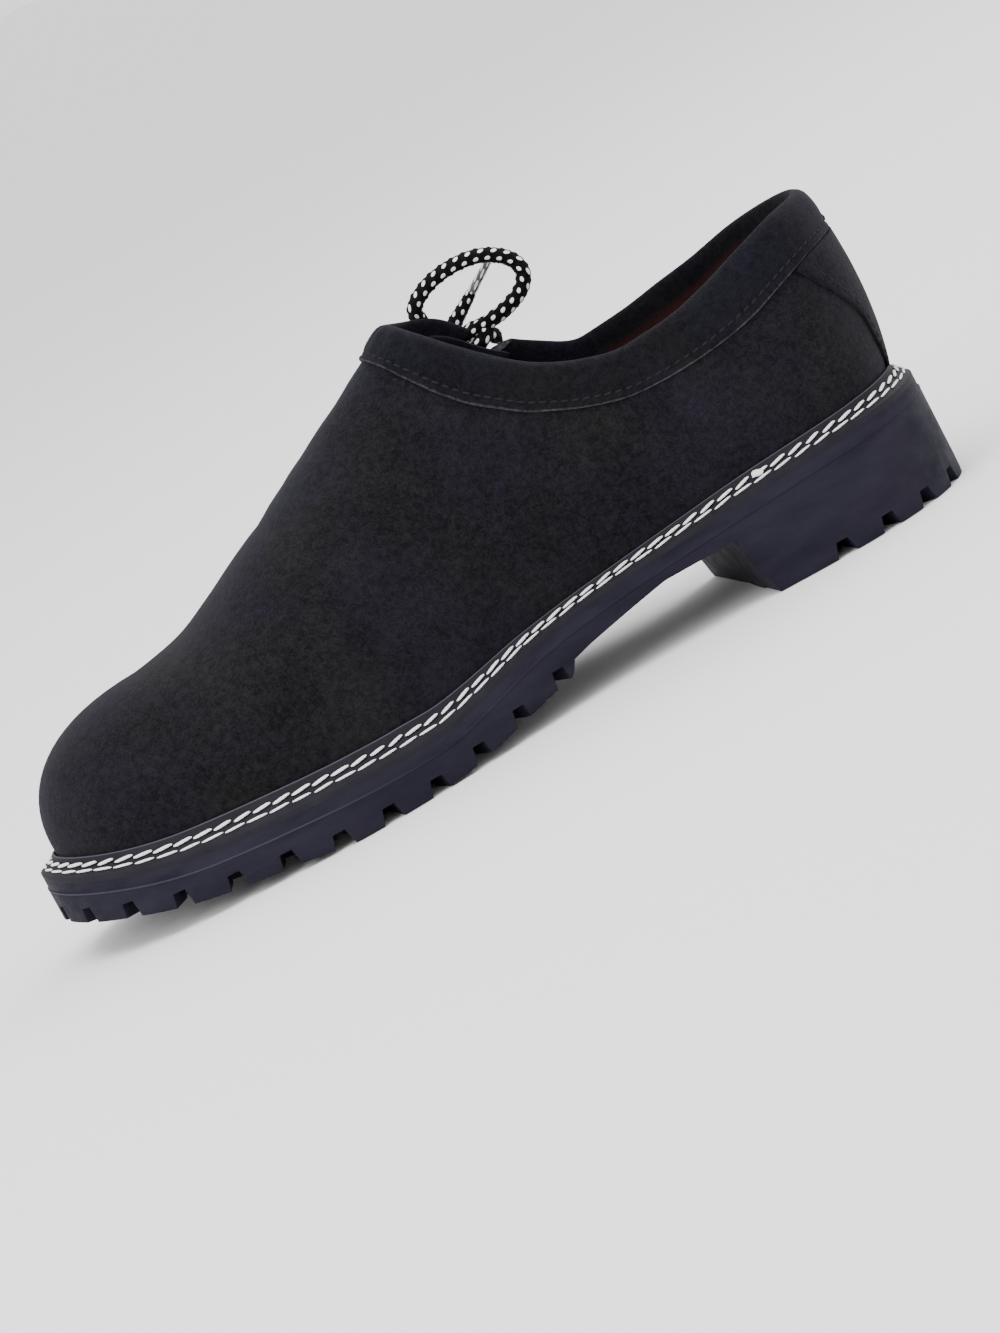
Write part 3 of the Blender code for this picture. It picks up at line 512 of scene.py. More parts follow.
SEAM = [
    # along, height
    (0.000, 0.520),
    (0.034, 0.514),
    (0.073, 0.486),
    (0.117, 0.445),
    (0.160, 0.426),
    (0.200, 0.420),
    (0.232, 0.423),
    (0.271, 0.438),
    (0.318, 0.485),
    (0.344, 0.521),
    (0.371, 0.564),
    (0.394, 0.616),
    (0.419, 0.678),
    (0.440, 0.750),
    (0.461, 0.840),
    (0.474, 0.902),
    (0.482, 0.934),
]
HEEL_CENTRE = 0.120
TOE_CENTRE = 0.838
TOE_OFFSET = 0.041
FRONT_START = 0.300
RING = 384
RISE_STEPS = 400
SKIN_STEP = 0.0005


def eased(t, start, end, start_lean, end_lean):
    """A cubic from one value to the next, which leans as told at its two ends."""
    return (
        (1 + 2 * t) * (1 - t) ** 2 * start
        + t * (1 - t) ** 2 * start_lean
        + t * t * (3 - 2 * t) * end
        + t * t * (t - 1) * end_lean
    )


def smooth(at, table, index):
    """A smooth curve through one column of a table, level where neighbouring values are equal."""
    places = np.array([row[0] for row in table], float)
    values = np.array([row[index] for row in table], float)
    steps = np.diff(places)
    slopes = np.diff(values) / steps
    inner = np.where(slopes[1:] * slopes[:-1] > 0, (slopes[1:] + slopes[:-1]) / 2, 0.0)
    tangents = np.concatenate([slopes[:1], inner, slopes[-1:]])
    at = np.clip(at, places[0], places[-1])
    i = np.clip(np.searchsorted(places, at, side="right") - 1, 0, len(steps) - 1)
    leans = steps[i] * tangents[i], steps[i] * tangents[i + 1]
    return eased((at - places[i]) / steps[i], values[i], values[i + 1], *leans)


def bed(x):
    along = np.asarray(x) / LAST_LENGTH
    rise = smooth(along, BED, 1) * (HEEL_STACK - BALL_STACK) + smooth(along, BED, 2) * TOE_SPRING
    return BALL_STACK + rise


def welt_top(x):
    return bed(x) + smooth(np.asarray(x) / LAST_LENGTH, BED, 3) * WELT_HEIGHT


def even_ring(loop, count):
    """Points spread evenly round a closed loop."""
    loop = np.vstack([loop, loop[:1]])
    run = run_along(loop)
    at = np.linspace(0, run[-1], count, endpoint=False)
    return np.stack([np.interp(at, run, loop[:, k]) for k in range(loop.shape[1])], axis=1)


def closed_curve(points, count):
    """Points spread evenly along a closed cubic spline through the given ones."""
    points = np.array(points, float)
    n = len(points)
    ahead = np.roll(points, -1, 0)
    chords = np.linalg.norm(ahead - points, axis=1)
    rows = np.zeros((n, n))
    sides = np.zeros((n, 2))
    for i in range(n):
        before, after = chords[i - 1], chords[i]
        rows[i, i - 1], rows[i, i], rows[i, (i + 1) % n] = after, 2 * (before + after), before
        back, on = points[i] - points[i - 1], ahead[i] - points[i]
        sides[i] = 3 * (after * back / before + before * on / after)
    leans = np.linalg.solve(rows, sides)
    t = np.linspace(0, 1, 60, endpoint=False)[:, None]
    spans = zip(points, ahead, chords, leans, np.roll(leans, -1, 0))
    return even_ring(np.concatenate([eased(t, a, b, c * d, c * e) for a, b, c, d, e in spans]), count)


OUTLINE_ROWS = [
    (along * LAST_LENGTH, medial * width, -lateral * width)
    for rows, width in ((HEEL_ROWS, HEEL_WIDTH), (BALL_ROWS, BALL_WIDTH))
    for along, medial, lateral in rows
]
OUTLINE_COUNT = 1600
OUTLINE = closed_curve(
    [(x, m) for x, m, _ in OUTLINE_ROWS] + [(x, s) for x, _, s in OUTLINE_ROWS[-2:0:-1]], OUTLINE_COUNT)
TOE_TIP = int(OUTLINE[:, 0].argmax())
MEDIAL = OUTLINE[: TOE_TIP + 1]
LATERAL = np.vstack([OUTLINE[TOE_TIP:], OUTLINE[:1]])[::-1]
HEEL_POINT = np.array([HEEL_CENTRE * LAST_LENGTH, 0.0])
TOE_POINT = np.array([TOE_CENTRE * LAST_LENGTH, TOE_OFFSET * BALL_WIDTH])


def spine(x):
    share = np.clip((x - HEEL_POINT[0]) / (TOE_POINT[0] - HEEL_POINT[0]), 0, 1)
    return HEEL_POINT + share[..., None] * (TOE_POINT - HEEL_POINT)


def fan_round(centre):
    """Directions and distances of the outline as seen from a centre."""
    away = OUTLINE - centre
    angle = np.arctan2(away[:, 1], away[:, 0])
    order = np.argsort(angle)
    return angle[order], np.hypot(away[:, 0], away[:, 1])[order]


HEEL_FAN = fan_round(HEEL_POINT)
TOE_FAN = fan_round(TOE_POINT)


def rib_of(plan):
    """Centre, direction and reach of the rib through each plan point, and its share from the ridge."""
    centre = spine(plan[..., 0])
    away = plan - centre
    angle = np.arctan2(away[..., 1], away[..., 0])
    side = np.where(away[..., 1] >= 0, 1.0, -1.0)
    x = plan[..., 0]
    reach = np.where(
        side > 0,
        np.interp(x, MEDIAL[:, 0], MEDIAL[:, 1]) - centre[..., 1],
        centre[..., 1] - np.interp(x, LATERAL[:, 0], LATERAL[:, 1]),
    )
    ray = np.stack([np.zeros_like(side), side], axis=-1)
    length = np.hypot(away[..., 0], away[..., 1])
    for fan, where in ((HEEL_FAN, x < HEEL_POINT[0]), (TOE_FAN, x > TOE_POINT[0])):
        reach = np.where(where, np.interp(angle, *fan, period=2 * math.pi), reach)
        turned = np.stack([np.cos(angle), np.sin(angle)], axis=-1)
        ray = np.where(where[..., None], turned, ray)
    return centre, ray, reach, np.clip(length / reach, 0, 1.05)


def rib_form(centre, ray, reach):
    """A rib's foot and top, how full and how crowned it is, and how far it bulges past its foot."""
    foot = centre + ray * reach[..., None]
    along = foot[..., 0] / LAST_LENGTH
    middle = centre[..., 0] / LAST_LENGTH
    low = bed(foot[..., 0]) + FIT_GAP
    crest = smooth(middle, CREST, 1) * INSTEP_HEIGHT + smooth(middle, CREST, 2) * TOE_BOX_HEIGHT
    fullest, crown, flare = (smooth(along, RIBS, k) for k in (1, 2, 3))
    bulge = flare * HEEL_FLARE + (1 - flare) * SIDE_FLARE * 0.5
    return low, bed(centre[..., 0]) + crest, fullest, crown, bulge


def last(plan):
    """The last's surface over points of its flattened plan, from the heel's back at x 0."""
    centre, ray, reach, share = rib_of(plan)
    low, high, fullest, crown, bulge = rib_form(centre, ray, reach)
    t = 1 - share
    a, b, c = (1 - t) ** 3, 3 * (1 - t) ** 2 * t, 3 * (1 - t) * t * t
    out = a * reach + b * (reach + bulge) + c * crown * reach
    up = low + (high - low) * (b * fullest + c + t**3)
    place = centre + ray * out[..., None]
    return np.concatenate([place, up[..., None]], axis=-1)


def skin(plan, out=0.0):
    """The last's surface in the frame's own coordinates, moved out along its normal."""
    plan = np.asarray(plan, float)
    over_x = last(plan + [SKIN_STEP, 0]) - last(plan - [SKIN_STEP, 0])
    over_y = last(plan + [0, SKIN_STEP]) - last(plan - [0, SKIN_STEP])
    return last(plan) + unit(np.cross(over_x, over_y)) * np.asarray(out)[..., None] + TO_MIDDLE


def at_height(foot, height):
    """The plan point of the rib that ends at a feather point, where the last reaches a height."""
    centre, ray, reach, _ = rib_of(foot)
    low, high, fullest, _, _ = rib_form(centre, ray, reach)
    t = np.linspace(0, 1, RISE_STEPS)
    rise = 3 * (1 - t) ** 2 * t * np.asarray(fullest)[..., None] + 3 * (1 - t) * t * t + t**3
    goal = np.clip((height - low) / (high - low), 0, 1)
    share = np.array([1 - np.interp(g, r, t) for g, r in zip(goal.ravel(), rise.reshape(-1, RISE_STEPS))])
    return centre + ray * (reach * share.reshape(goal.shape))[..., None]


FEATHER = even_ring(OUTLINE, RING)
along_feather = unit(np.roll(FEATHER, -1, 0) - np.roll(FEATHER, 1, 0))
FEATHER_NORMAL = np.stack([-along_feather[:, 1], along_feather[:, 0]], 1)
TIP_COLUMN = int(FEATHER[:, 0].argmax())


def foot_at(x, branch):
    """The outline's point at a place along the foot, on its inner or outer branch."""
    return np.stack([x, np.interp(x, branch[:, 0], branch[:, 1])], axis=-1)


def line_height(table, x, side):
    along = np.clip(x / LAST_LENGTH, 0, table[-1][0])
    return bed(x) + smooth(along, table, side) * INSTEP_HEIGHT


def line_over(table):
    """A collar line in plan, one point for each feather column, closing over the instep."""
    ends = []
    for branch, side in ((MEDIAL, 1), (LATERAL, -1)):
        x = np.linspace(FRONT_START * LAST_LENGTH, table[-1][0] * LAST_LENGTH, 300)
        ends.append(at_height(foot_at(x, branch), line_height(table, x, side)))
        ends[-1][-1] = spine(x)[-1]
    heights = [line_height(table, FEATHER[:, 0], side) for side in (1, -1)]
    line = at_height(FEATHER, np.where(np.arange(RING) <= TIP_COLUMN, *heights))
    for end, columns, before in (
        (ends[0], range(TIP_COLUMN + 1), -1),
        (ends[1], range(RING - 1, TIP_COLUMN - 1, -1), 1),
    ):
        front = [i for i in columns if FEATHER[i, 0] > FRONT_START * LAST_LENGTH]
        run = run_along(FEATHER[[front[0] + before] + front])[1:]
        length = run_along(end)
        at = run / run[-1] * length[-1]
        line[front] = np.stack([np.interp(at, length, end[:, k]) for k in range(2)], axis=1)
    return line


TOP_LINE = line_over(TOPLINE)
SEAM_LINE = line_over(SEAM)


def object_place(tree):
    return node(tree, "ShaderNodeTexCoord").outputs["Object"]


def noise(tree, vector, scale, detail, roughness=0.5):
    inputs = {"Vector": vector, "Scale": scale, "Detail": detail, "Roughness": roughness}
    return node(tree, "ShaderNodeTexNoise", inputs).outputs


def nap_pattern():
    """Suede: fine fibres, soft patches where the nap lies another way, and faint rubbed places."""
    tree, takes = new_group("suede_nap", {"Fibre": 1500.0, "Patch": 70.0}, ("Shade", "Tint", "Height"))
    place = object_place(tree)
    bent = noise(tree, place, 260.0, 2.0)["Color"]
    pushed = node(tree, "ShaderNodeVectorMath", {0: bent, 1: (0.0016, 0.0016, 0.0016)}, operation="MULTIPLY")
    moved = node(tree, "ShaderNodeVectorMath", {0: place, 1: pushed.outputs[0]}, operation="ADD").outputs[0]
    fibre = noise(tree, moved, takes["Fibre"], 4.0, 0.7)[0]
    grit = noise(tree, moved, 480.0, 4.0, 0.75)[0]
    patch = noise(tree, place, takes["Patch"], 4.0, 0.6)[0]
    wide = noise(tree, place, 22.0, 2.0)[0]
    cool = noise(tree, place, 30.0, 3.0)[0]
    rubbed = ranged(tree, weighted(tree, patch, 0.55, wide, 0.45), 0.36, 0.66)
    fine = weighted(tree, fibre, 0.5, grit, 0.5)
    shade = weighted(tree, rubbed, 0.35, ranged(tree, fine, 0.42, 0.59), 0.65)
    return give(tree, Shade=shade, Tint=ranged(tree, cool, 0.38, 0.56), Height=fine)


SUEDE_NAP = nap_pattern()


def along_section(tree, start, end):
    """A soft mask over one strip of a piece's cross-section, from the second number of its UV."""
    off = maths(tree, "ABSOLUTE", maths(tree, "SUBTRACT", along_uv(tree)[1], (start + end) / 2))
    half = (end - start) / 2
    return ranged(tree, off, half * 0.6, half, 1.0, 0.0)


def suede_look(name, dark, light, blue, edge=None, inside=None):
    look, tree, bsdf = new_look(
        name, Roughness=0.95, Specular_IOR_Level=0.12, Sheen_Weight=0.04, Sheen_Roughness=0.5,
        Sheen_Tint=(0.80, 0.78, 1.0, 1))
    nap = node(tree, "ShaderNodeGroup", node_tree=SUEDE_NAP).outputs
    colour = mixed(tree, nap["Shade"], dark, mixed(tree, nap["Tint"], light, blue))
    if edge:
        # A lighter strip of the section, broken by the nap: a painted highlight on the collar's fold.
        painted_seam_highlight = maths(tree, "MULTIPLY", along_section(tree, *edge), nap["Shade"])
        colour = mixed(tree, painted_seam_highlight, colour, (0.062, 0.058, 0.070))
    if inside:
        colour = mixed(tree, along_section(tree, *inside), colour, (0.048, 0.013, 0.010))
    surface(tree, bsdf, colour, nap["Height"], 1.0, 0.0006)
    return look


black_suede = suede_look(
    "black_suede", (0.0002, 0.0002, 0.0004), (0.0138, 0.0128, 0.0138), (0.0120, 0.0107, 0.0180))
# Painted highlight on the collar's lower fold at the seam; the red-brown inside is the lining's own colour.
collar_suede = suede_look(
    "collar_suede", (0.0001, 0.0001, 0.0003), (0.0090, 0.0083, 0.0095), (0.0078, 0.0070, 0.0142),
    edge=(0.02, 0.16), inside=(0.84, 1.16))
LASTED_SWELL = 0.00014
CREASES = [
    # along, lean, width, depth
    (0.176, 0.20, 0.0026, 0.00050),
    (0.186, -0.16, 0.0030, 0.00042),
    (0.166, 0.34, 0.0032, 0.00030),
]
CREASE_WAVE = 0.0016
CREASE_REACH = 0.030


def lasted_relief(plan):
    """Shallow unevenness that suede keeps after lasting, and the crease lines where the foot bends."""
    x, y = plan[..., 0], plan[..., 1]
    waves = np.sin(x / 0.0091 + np.sin(y / 0.011) * 1.3) * np.sin(y / 0.0083 + np.sin(x / 0.013))
    relief = waves * LASTED_SWELL
    fade = np.exp(-((y / CREASE_REACH) ** 2))
    for middle, lean, width, depth in CREASES:
        off = (x - middle - lean * y - CREASE_WAVE * np.sin(y / 0.009)) / width
        relief = relief - depth * np.exp(-off * off) * fade
    return relief


UPPER_ROWS = 60


def upper_place(i, j):
    share = ((j / UPPER_ROWS) ** 1.35)[:, None]
    column = i % RING
    plan = FEATHER[column] + (SEAM_LINE[column] - FEATHER[column]) * share
    return skin(plan, lasted_relief(plan) * np.sin(math.pi * np.clip(share[:, 0] * 1.05, 0, 1)))


def lateral_point(along, across):
    """A plan point on the outer side, by its share of the way from the ridge to the outline."""
    x = np.asarray(along, float) * LAST_LENGTH
    middle = spine(x)
    return middle + np.asarray(across)[..., None] * (foot_at(x, LATERAL) - middle)


# The slit on the outer side is cut from the topline down towards the ball. It is wide at the mouth and almost
# closed below the knot. Its cutter is a strip that stands through the wall; the four lace holes are punched.
SLIT = [
    # along, across, share of the mouth
    (0.321, 0.520, 1.30),
    (0.354, 0.515, 1.00),
    (0.384, 0.508, 0.60),
    (0.409, 0.500, 0.25),
    (0.439, 0.488, 0.10),
    (0.499, 0.468, 0.05),
    (0.549, 0.455, 0.00),
]
SLIT_MOUTH = 0.0110
SLIT_END = 0.0009
LACE_HOLES = [(0.491, 0.365), (0.513, 0.560), (0.401, 0.415), (0.375, 0.615)]
HOLE_DIAMETER = 0.0056
SLIT_ROWS = 48
CUTTER_BELOW = 0.0075
CUTTER_ABOVE = 0.0066
PUNCH_REACH = 0.006


def beside_slit(along, side, beyond, level):
    """Points past the slit's cut edge on one side of it, above or below the last, and the way up there."""
    across = smooth(along, SLIT, 1)
    half = (SLIT_END + smooth(along, SLIT, 2) * (SLIT_MOUTH - SLIT_END)) / 2
    here = skin(lateral_point(along, across))
    lift = (skin(lateral_point(along, across), 0.01) - here) / 0.01
    run = skin(lateral_point(along + 0.01, across)) - skin(lateral_point(along - 0.01, across))
    out = unit(np.cross(run, lift))
    return here + out * (side * (half + beyond))[..., None] + lift * np.asarray(level)[..., None], lift


def slit_place(i, j):
    along = np.interp(j / SLIT_ROWS, np.linspace(0, 1, len(SLIT)), [row[0] for row in SLIT])
    corner = i % 4
    side = np.where((corner == 0) | (corner == 3), -1.0, 1.0)
    return beside_slit(along, side, 0.0, np.where(corner < 2, -CUTTER_BELOW, CUTTER_ABOVE))[0]


slit_mesh = grid_mesh(4, SLIT_ROWS, slit_place)
bmesh.ops.holes_fill(slit_mesh, edges=[e for e in slit_mesh.edges if e.is_boundary])
bmesh.ops.recalc_face_normals(slit_mesh, faces=slit_mesh.faces)
hole_mesh = bmesh.new()
for along, across in LACE_HOLES:
    plan = lateral_point(along, across)
    low, high = (Vector(skin(plan, out)) for out in (-PUNCH_REACH, PUNCH_REACH))
    stand = Matrix.Translation((low + high) / 2) @ (high - low).to_track_quat("Z", "Y").to_matrix().to_4x4()
    bmesh.ops.create_cone(
        hole_mesh, cap_ends=True, segments=24, radius1=HOLE_DIAMETER / 2, radius2=HOLE_DIAMETER / 2,
        depth=(high - low).length, matrix=stand)
cutters = [
    make_piece(name, mesh, black_suede)
    for name, mesh in (("slit_cutter", slit_mesh), ("hole_cutter", hole_mesh))
]


def baked(piece):
    """Puts the piece's modifiers into its mesh."""
    bpy.context.view_layer.update()
    solved = piece.evaluated_get(bpy.context.evaluated_depsgraph_get())
    data = bpy.data.meshes.new_from_object(solved)
    piece.modifiers.clear()
    piece.data = data
    return piece


def give_wall(piece, thickness, offset):
    wall = piece.modifiers.new("wall", "SOLIDIFY")
    wall.thickness = thickness
    wall.offset = offset


def cut_by(piece, tools):
    """Takes the tools' bodies out of a piece."""
    for tool in tools:
        cut = piece.modifiers.new(tool.name, "BOOLEAN")
        cut.operation = "DIFFERENCE"
        cut.solver = "EXACT"
        cut.object = tool
    return baked(piece)


upper = make_piece("suede_upper", grid_mesh(RING, UPPER_ROWS, upper_place), black_suede)
give_wall(upper, UPPER_WALL, -1)
upper = cut_by(upper, cutters)
upper.data.set_sharp_from_angle(angle=math.radians(50))
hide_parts("upper")
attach(upper, "root")


# The collar is a padded band of the same suede, folded over the topline and sewn down on the upper's edge. It
# stands 1.6 mm proud, dips in at its seam, and goes down about 3 mm inside, where the lining meets it.
# Its lower fold at the seam carries a painted highlight in the collar's material.
COLLAR_SWELL = 0.0016
COLLAR_DEPTH = 0.0033
COLLAR_SECTION = [
    # up, swell, depth
    (0.02, 0.00, 0.20),
    (-0.03, 0.10, 0.00),
    (-0.03, 0.60, 0.00),
    (0.02, 0.90, 0.00),
    (0.09, 0.78, 0.00),
    (0.15, 0.60, 0.00),
    (0.26, 0.95, 0.00),
    (0.45, 1.12, 0.00),
    (0.68, 1.08, 0.00),
    (0.86, 0.80, 0.00),
    (0.97, 0.30, 0.00),
    (1.05, 0.00, 0.25),
    (1.07, 0.00, 0.50),
    (1.03, 0.00, 0.80),
    (0.92, 0.00, 0.98),
    (0.70, 0.00, 1.00),
    (0.40, 0.00, 1.00),
    (0.04, 0.00, 1.00),
]
COLLAR_LINE = np.array(COLLAR_SECTION + COLLAR_SECTION[:1])
COLLAR_PLACES = np.linspace(0, 1, len(COLLAR_LINE))
SECTION_COUNT = 44
RIPPLE = 0.00010


def collar_place(i, j):
    column = i % RING
    at = (j % SECTION_COUNT) / SECTION_COUNT
    up, swell, depth = (np.interp(at, COLLAR_PLACES, COLLAR_LINE[:, k]) for k in range(3))
    plan = SEAM_LINE[column] + (TOP_LINE[column] - SEAM_LINE[column]) * up[:, None]
    ripple = np.sin(column * 0.9 + np.sin(column * 0.23) * 2) * RIPPLE * (up > 0.2)
    return skin(plan, swell * COLLAR_SWELL - depth * COLLAR_DEPTH + ripple * (depth == 0))


collar_mesh = grid_mesh(RING, SECTION_COUNT, collar_place)
bmesh.ops.smooth_vert(
    collar_mesh, verts=collar_mesh.verts, factor=0.5, use_axis_x=True, use_axis_y=True, use_axis_z=True)
collar = cut_by(make_piece("padded_collar", collar_mesh, collar_suede), cutters)
collar.data.set_sharp_from_angle(angle=math.radians(60))
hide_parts("collar")
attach(collar, "root")


# Fine black thread, sewn by machine, holds the collar to the upper in a close row of short stitches above the
# seam. A row goes down both sides of the slit, and a tack closes the collar's seam at the back.
SLIT_SEWN = np.linspace(0.425, 0.555, 60)
SLIT_ALLOWANCE = 0.0019
SLIT_THREAD = (0.0021, 0.0007, 0.0006)
COLLAR_SEWN = 0.165
COLLAR_THREAD = (0.0024, 0.0008, 0.0007)
BACK_COLUMNS = np.array([-2, -1, 0, 1, 2])
BACK_THREAD = (0.0060, 0.0030, 0.0026)


def thread_look(name, colour, roughness):
    look, tree, bsdf = new_look(name, Roughness=roughness, Specular_IOR_Level=0.22)
    ply = noise(tree, object_place(tree), 1800.0, 3.0)[0]
    twist = mixed(tree, ranged(tree, ply, 0.3, 0.7), tuple(c * 0.72 for c in colour), colour)
    surface(tree, bsdf, twist, ply, 0.5, 0.0002)
    return look


fine_thread = thread_look("fine_thread", (0.010, 0.0095, 0.0130), 0.85)
white_thread = thread_look("white_thread", (0.97, 0.97, 0.98), 0.6)


def stitch_row(name, line, lift, pitch, size, look, slant=0.0, blunt=1.0, jitter=0.0, bend=0.0, closed=False):
    """A row of stitches on a line: each a small rounded body that lies along it, turned by the slant."""
    if closed:
        line, lift = (np.vstack([a, a[:1]]) for a in (line, lift))
    run = run_along(line)
    count = round(run[-1] / pitch)
    mesh = bmesh.new()
    rng = np.random.default_rng(7)
    for k in range(count):
        at = (k + 0.5) * run[-1] / count
        here, ahead, behind = (
            Vector([np.interp(a % run[-1] if closed else a, run, line[:, c]) for c in range(3)])
            for a in (at, at + pitch * 0.3, at - pitch * 0.3)
        )
        normal = Vector([np.interp(at, run, lift[:, c]) for c in range(3)]).normalized()
        way = (ahead - behind).normalized()
        cross = normal.cross(way).normalized()
        stand = Matrix((way, cross, way.cross(cross).normalized())).transposed().to_4x4()
        turn = Matrix.Rotation(slant + rng.normal() * jitter, 4, "Z")
        long = size[0] * (1 + rng.normal() * jitter)
        shape = Matrix.Diagonal((long, *size[1:], 1))
        made = bmesh.ops.create_uvsphere(mesh, u_segments=8, v_segments=6, radius=0.5)["verts"]
        for vert in made:
            x, y, z = vert.co
            reach = z * (abs(2 * z) + 0.001) ** (blunt - 1)
            vert.co = (reach, y + bend * math.sin(math.pi * reach), x)
        bmesh.ops.transform(mesh, matrix=Matrix.Translation(here) @ stand @ turn @ shape, verts=made)
    bmesh.ops.recalc_face_normals(mesh, faces=mesh.faces)
    return make_piece(name, mesh, look)


def off_skin(plan, out):
    """Points a little off the last's surface, and the way up there."""
    low = skin(plan, out)
    return low, (skin(plan, out + 0.001) - low) * 1000


edges = [beside_slit(SLIT_SEWN, side, SLIT_ALLOWANCE, 0.0001) for side in (-1.0, 1.0)]
slit_line, slit_lift = (np.vstack([there, back[::-1]]) for there, back in zip(*edges))
slit_stitches = stitch_row("slit_stitches", slit_line, slit_lift, 0.0030, SLIT_THREAD, fine_thread)
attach(slit_stitches, "root")
seam_line, seam_lift = off_skin(SEAM_LINE + (TOP_LINE - SEAM_LINE) * COLLAR_SEWN, COLLAR_SWELL * 0.62)
collar_stitches = stitch_row(
    "collar_stitches", seam_line, seam_lift, 0.0032, COLLAR_THREAD, fine_thread, slant=0.1, closed=True)
back_tack = stitch_row(
    "back_tack", seam_line[BACK_COLUMNS], seam_lift[BACK_COLUMNS], 0.0065, BACK_THREAD, fine_thread,
    blunt=0.7)
for piece in (collar_stitches, back_tack):
    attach(piece, "root")


# The heel stay is a thin suede counter laid over the upper's back, from the collar's seam down to the welt.
# It is narrow at the welt and widens upwards, and each of its side edges is sewn with one row.
STAY = [
    # up, width
    (0.00, 0.22),
    (0.20, 0.40),
    (0.33, 0.47),
    (0.45, 0.53),
    (0.64, 0.70),
    (0.80, 0.84),
    (1.00, 1.00),
]
STAY_WIDTH = 0.070
STAY_WALL = 0.0010
STAY_COLUMNS = 40
STAY_ROWS = 24
PUCKER = 0.00012
STAY_THREAD = (0.0024, 0.0007, 0.0006)


def stay_plan(up, across):
    half = smooth(up, STAY, 1) * STAY_WIDTH / 2
    turn = across * half / HEEL_POINT[0]
    reach = np.interp(math.pi + turn, *HEEL_FAN, period=2 * math.pi)[:, None]
    foot = HEEL_POINT - reach * np.stack([np.cos(turn), np.sin(turn)], 1)
    start = welt_top(foot[:, 0]) - FIT_GAP
    seam = line_height(SEAM, foot[:, 0], 1) - 2 * FIT_GAP
    return at_height(foot, start + up * (seam - start))


def stay_place(i, j):
    across = i / STAY_COLUMNS * 2 - 1
    plan = stay_plan(j / STAY_ROWS, across)
    puckered = PUCKER * np.sin(j * 1.9) * (np.abs(across) > 0.85)
    return skin(plan, FIT_GAP + (1 - np.abs(across) ** 8) * STAY_WALL * 0.35 + puckered)


stay = make_piece("heel_counter", grid_mesh(STAY_COLUMNS, STAY_ROWS, stay_place), black_suede)
give_wall(stay, STAY_WALL * 0.8, 1)
stay = baked(stay)
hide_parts("heel_stay")
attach(stay, "root")
for side, across in (("medial", -0.90), ("lateral", 0.90)):
    sewn, lift = off_skin(stay_plan(np.linspace(0.04, 0.94, 40), np.full(40, across)), STAY_WALL + FIT_GAP)
    counter_stitches = stitch_row(f"counter_stitches_{side}", sewn, lift, 0.0034, STAY_THREAD, fine_thread)
    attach(counter_stitches, "root")


# The tongue is a soft gusset behind the slit, of the collar's suede. It is sewn in under the collar, lies
# against the upper's inside, and narrows towards the slit's lower end.
TONGUE_TOP = (0.327, 0.401)
TONGUE_END = [(0.570, 0.640), (0.610, 0.300)]
TONGUE_COLUMNS = 24
TONGUE_ROWS = 30
TONGUE_WALL = 0.0018


def tongue_place(i, j):
    x = np.linspace(*TONGUE_TOP, TONGUE_COLUMNS + 1) * LAST_LENGTH
    start = at_height(foot_at(x, LATERAL), line_height(TOPLINE, x, -1) - 2 * COLLAR_SWELL)
    corners = lateral_point(*np.array(TONGUE_END).T)
    end = corners[0] + np.linspace(0, 1, TONGUE_COLUMNS + 1)[:, None] * (corners[1] - corners[0])
    plan = start[i] + (end[i] - start[i]) * (j / TONGUE_ROWS)[:, None]
    return skin(plan, -COLLAR_DEPTH - 1.3 * FIT_GAP)


tongue = make_piece("soft_tongue", grid_mesh(TONGUE_COLUMNS, TONGUE_ROWS, tongue_place), collar_suede)
give_wall(tongue, TONGUE_WALL, -1)
tongue = baked(tongue)
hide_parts("tongue")
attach(tongue, "root")


# The lining is a thin sheet of smooth red-brown leather. It covers the upper's wall inside, up to the collar
# that it is sewn to, and is cut open with the slit and the lace holes.
LINING_WALL = 0.0004
LINING_ROWS = 24
LINING_START = 0.05
LINING_END = 0.995


def grain_pattern():
    """Smooth leather: pores, and creases that run across the wear."""
    tree, takes = new_group("leather_grain", {"Pores": 900.0}, ("Shade", "Height"))
    place = object_place(tree)
    pores = node(tree, "ShaderNodeTexVoronoi", {"Vector": place, "Scale": takes["Pores"]}).outputs["Distance"]
    wear = noise(tree, place, 110.0, 6.0, 0.6)[0]
    return give(tree, Shade=ranged(tree, wear, 0.25, 0.8), Height=weighted(tree, pores, 0.6, wear, 1.0))


LEATHER_GRAIN = grain_pattern()


def leather_look(name, dark, light, roughness, strength, lip=None):
    look, tree, bsdf = new_look(name, Roughness=roughness, Specular_IOR_Level=0.2)
    grain = node(tree, "ShaderNodeGroup", node_tree=LEATHER_GRAIN).outputs
    colour = mixed(tree, grain["Shade"], dark, light)
    # Lighter strip of the section: greyer leather and a painted highlight on the raised lip.
    if lip:
        colour = mixed(tree, along_section(tree, *lip), colour, (0.060, 0.057, 0.075))
    surface(tree, bsdf, colour, grain["Height"], strength, 0.0004)
    return look


lining = leather_look("lining", (0.036, 0.012, 0.010), (0.100, 0.034, 0.026), 0.62, 0.4)


def lining_place(i, j):
    column = i % RING
    share = (LINING_START + (LINING_END - LINING_START) * j / LINING_ROWS)[:, None]
    plan = FEATHER[column] + (SEAM_LINE[column] - FEATHER[column]) * share
    return skin(plan, -UPPER_WALL - FIT_GAP)


quarter_lining = make_piece("quarter_lining", grid_mesh(RING, LINING_ROWS, lining_place), lining)
give_wall(quarter_lining, LINING_WALL, -1)
quarter_lining = cut_by(quarter_lining, cutters)
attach(quarter_lining, "root")


# The insole is a thin board covered with the lining's leather. It lies on the bed inside the upper, and its
# solid is the frame's own.
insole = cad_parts["insole"]
insole.data.materials.clear()
insole.data.materials.append(lining)


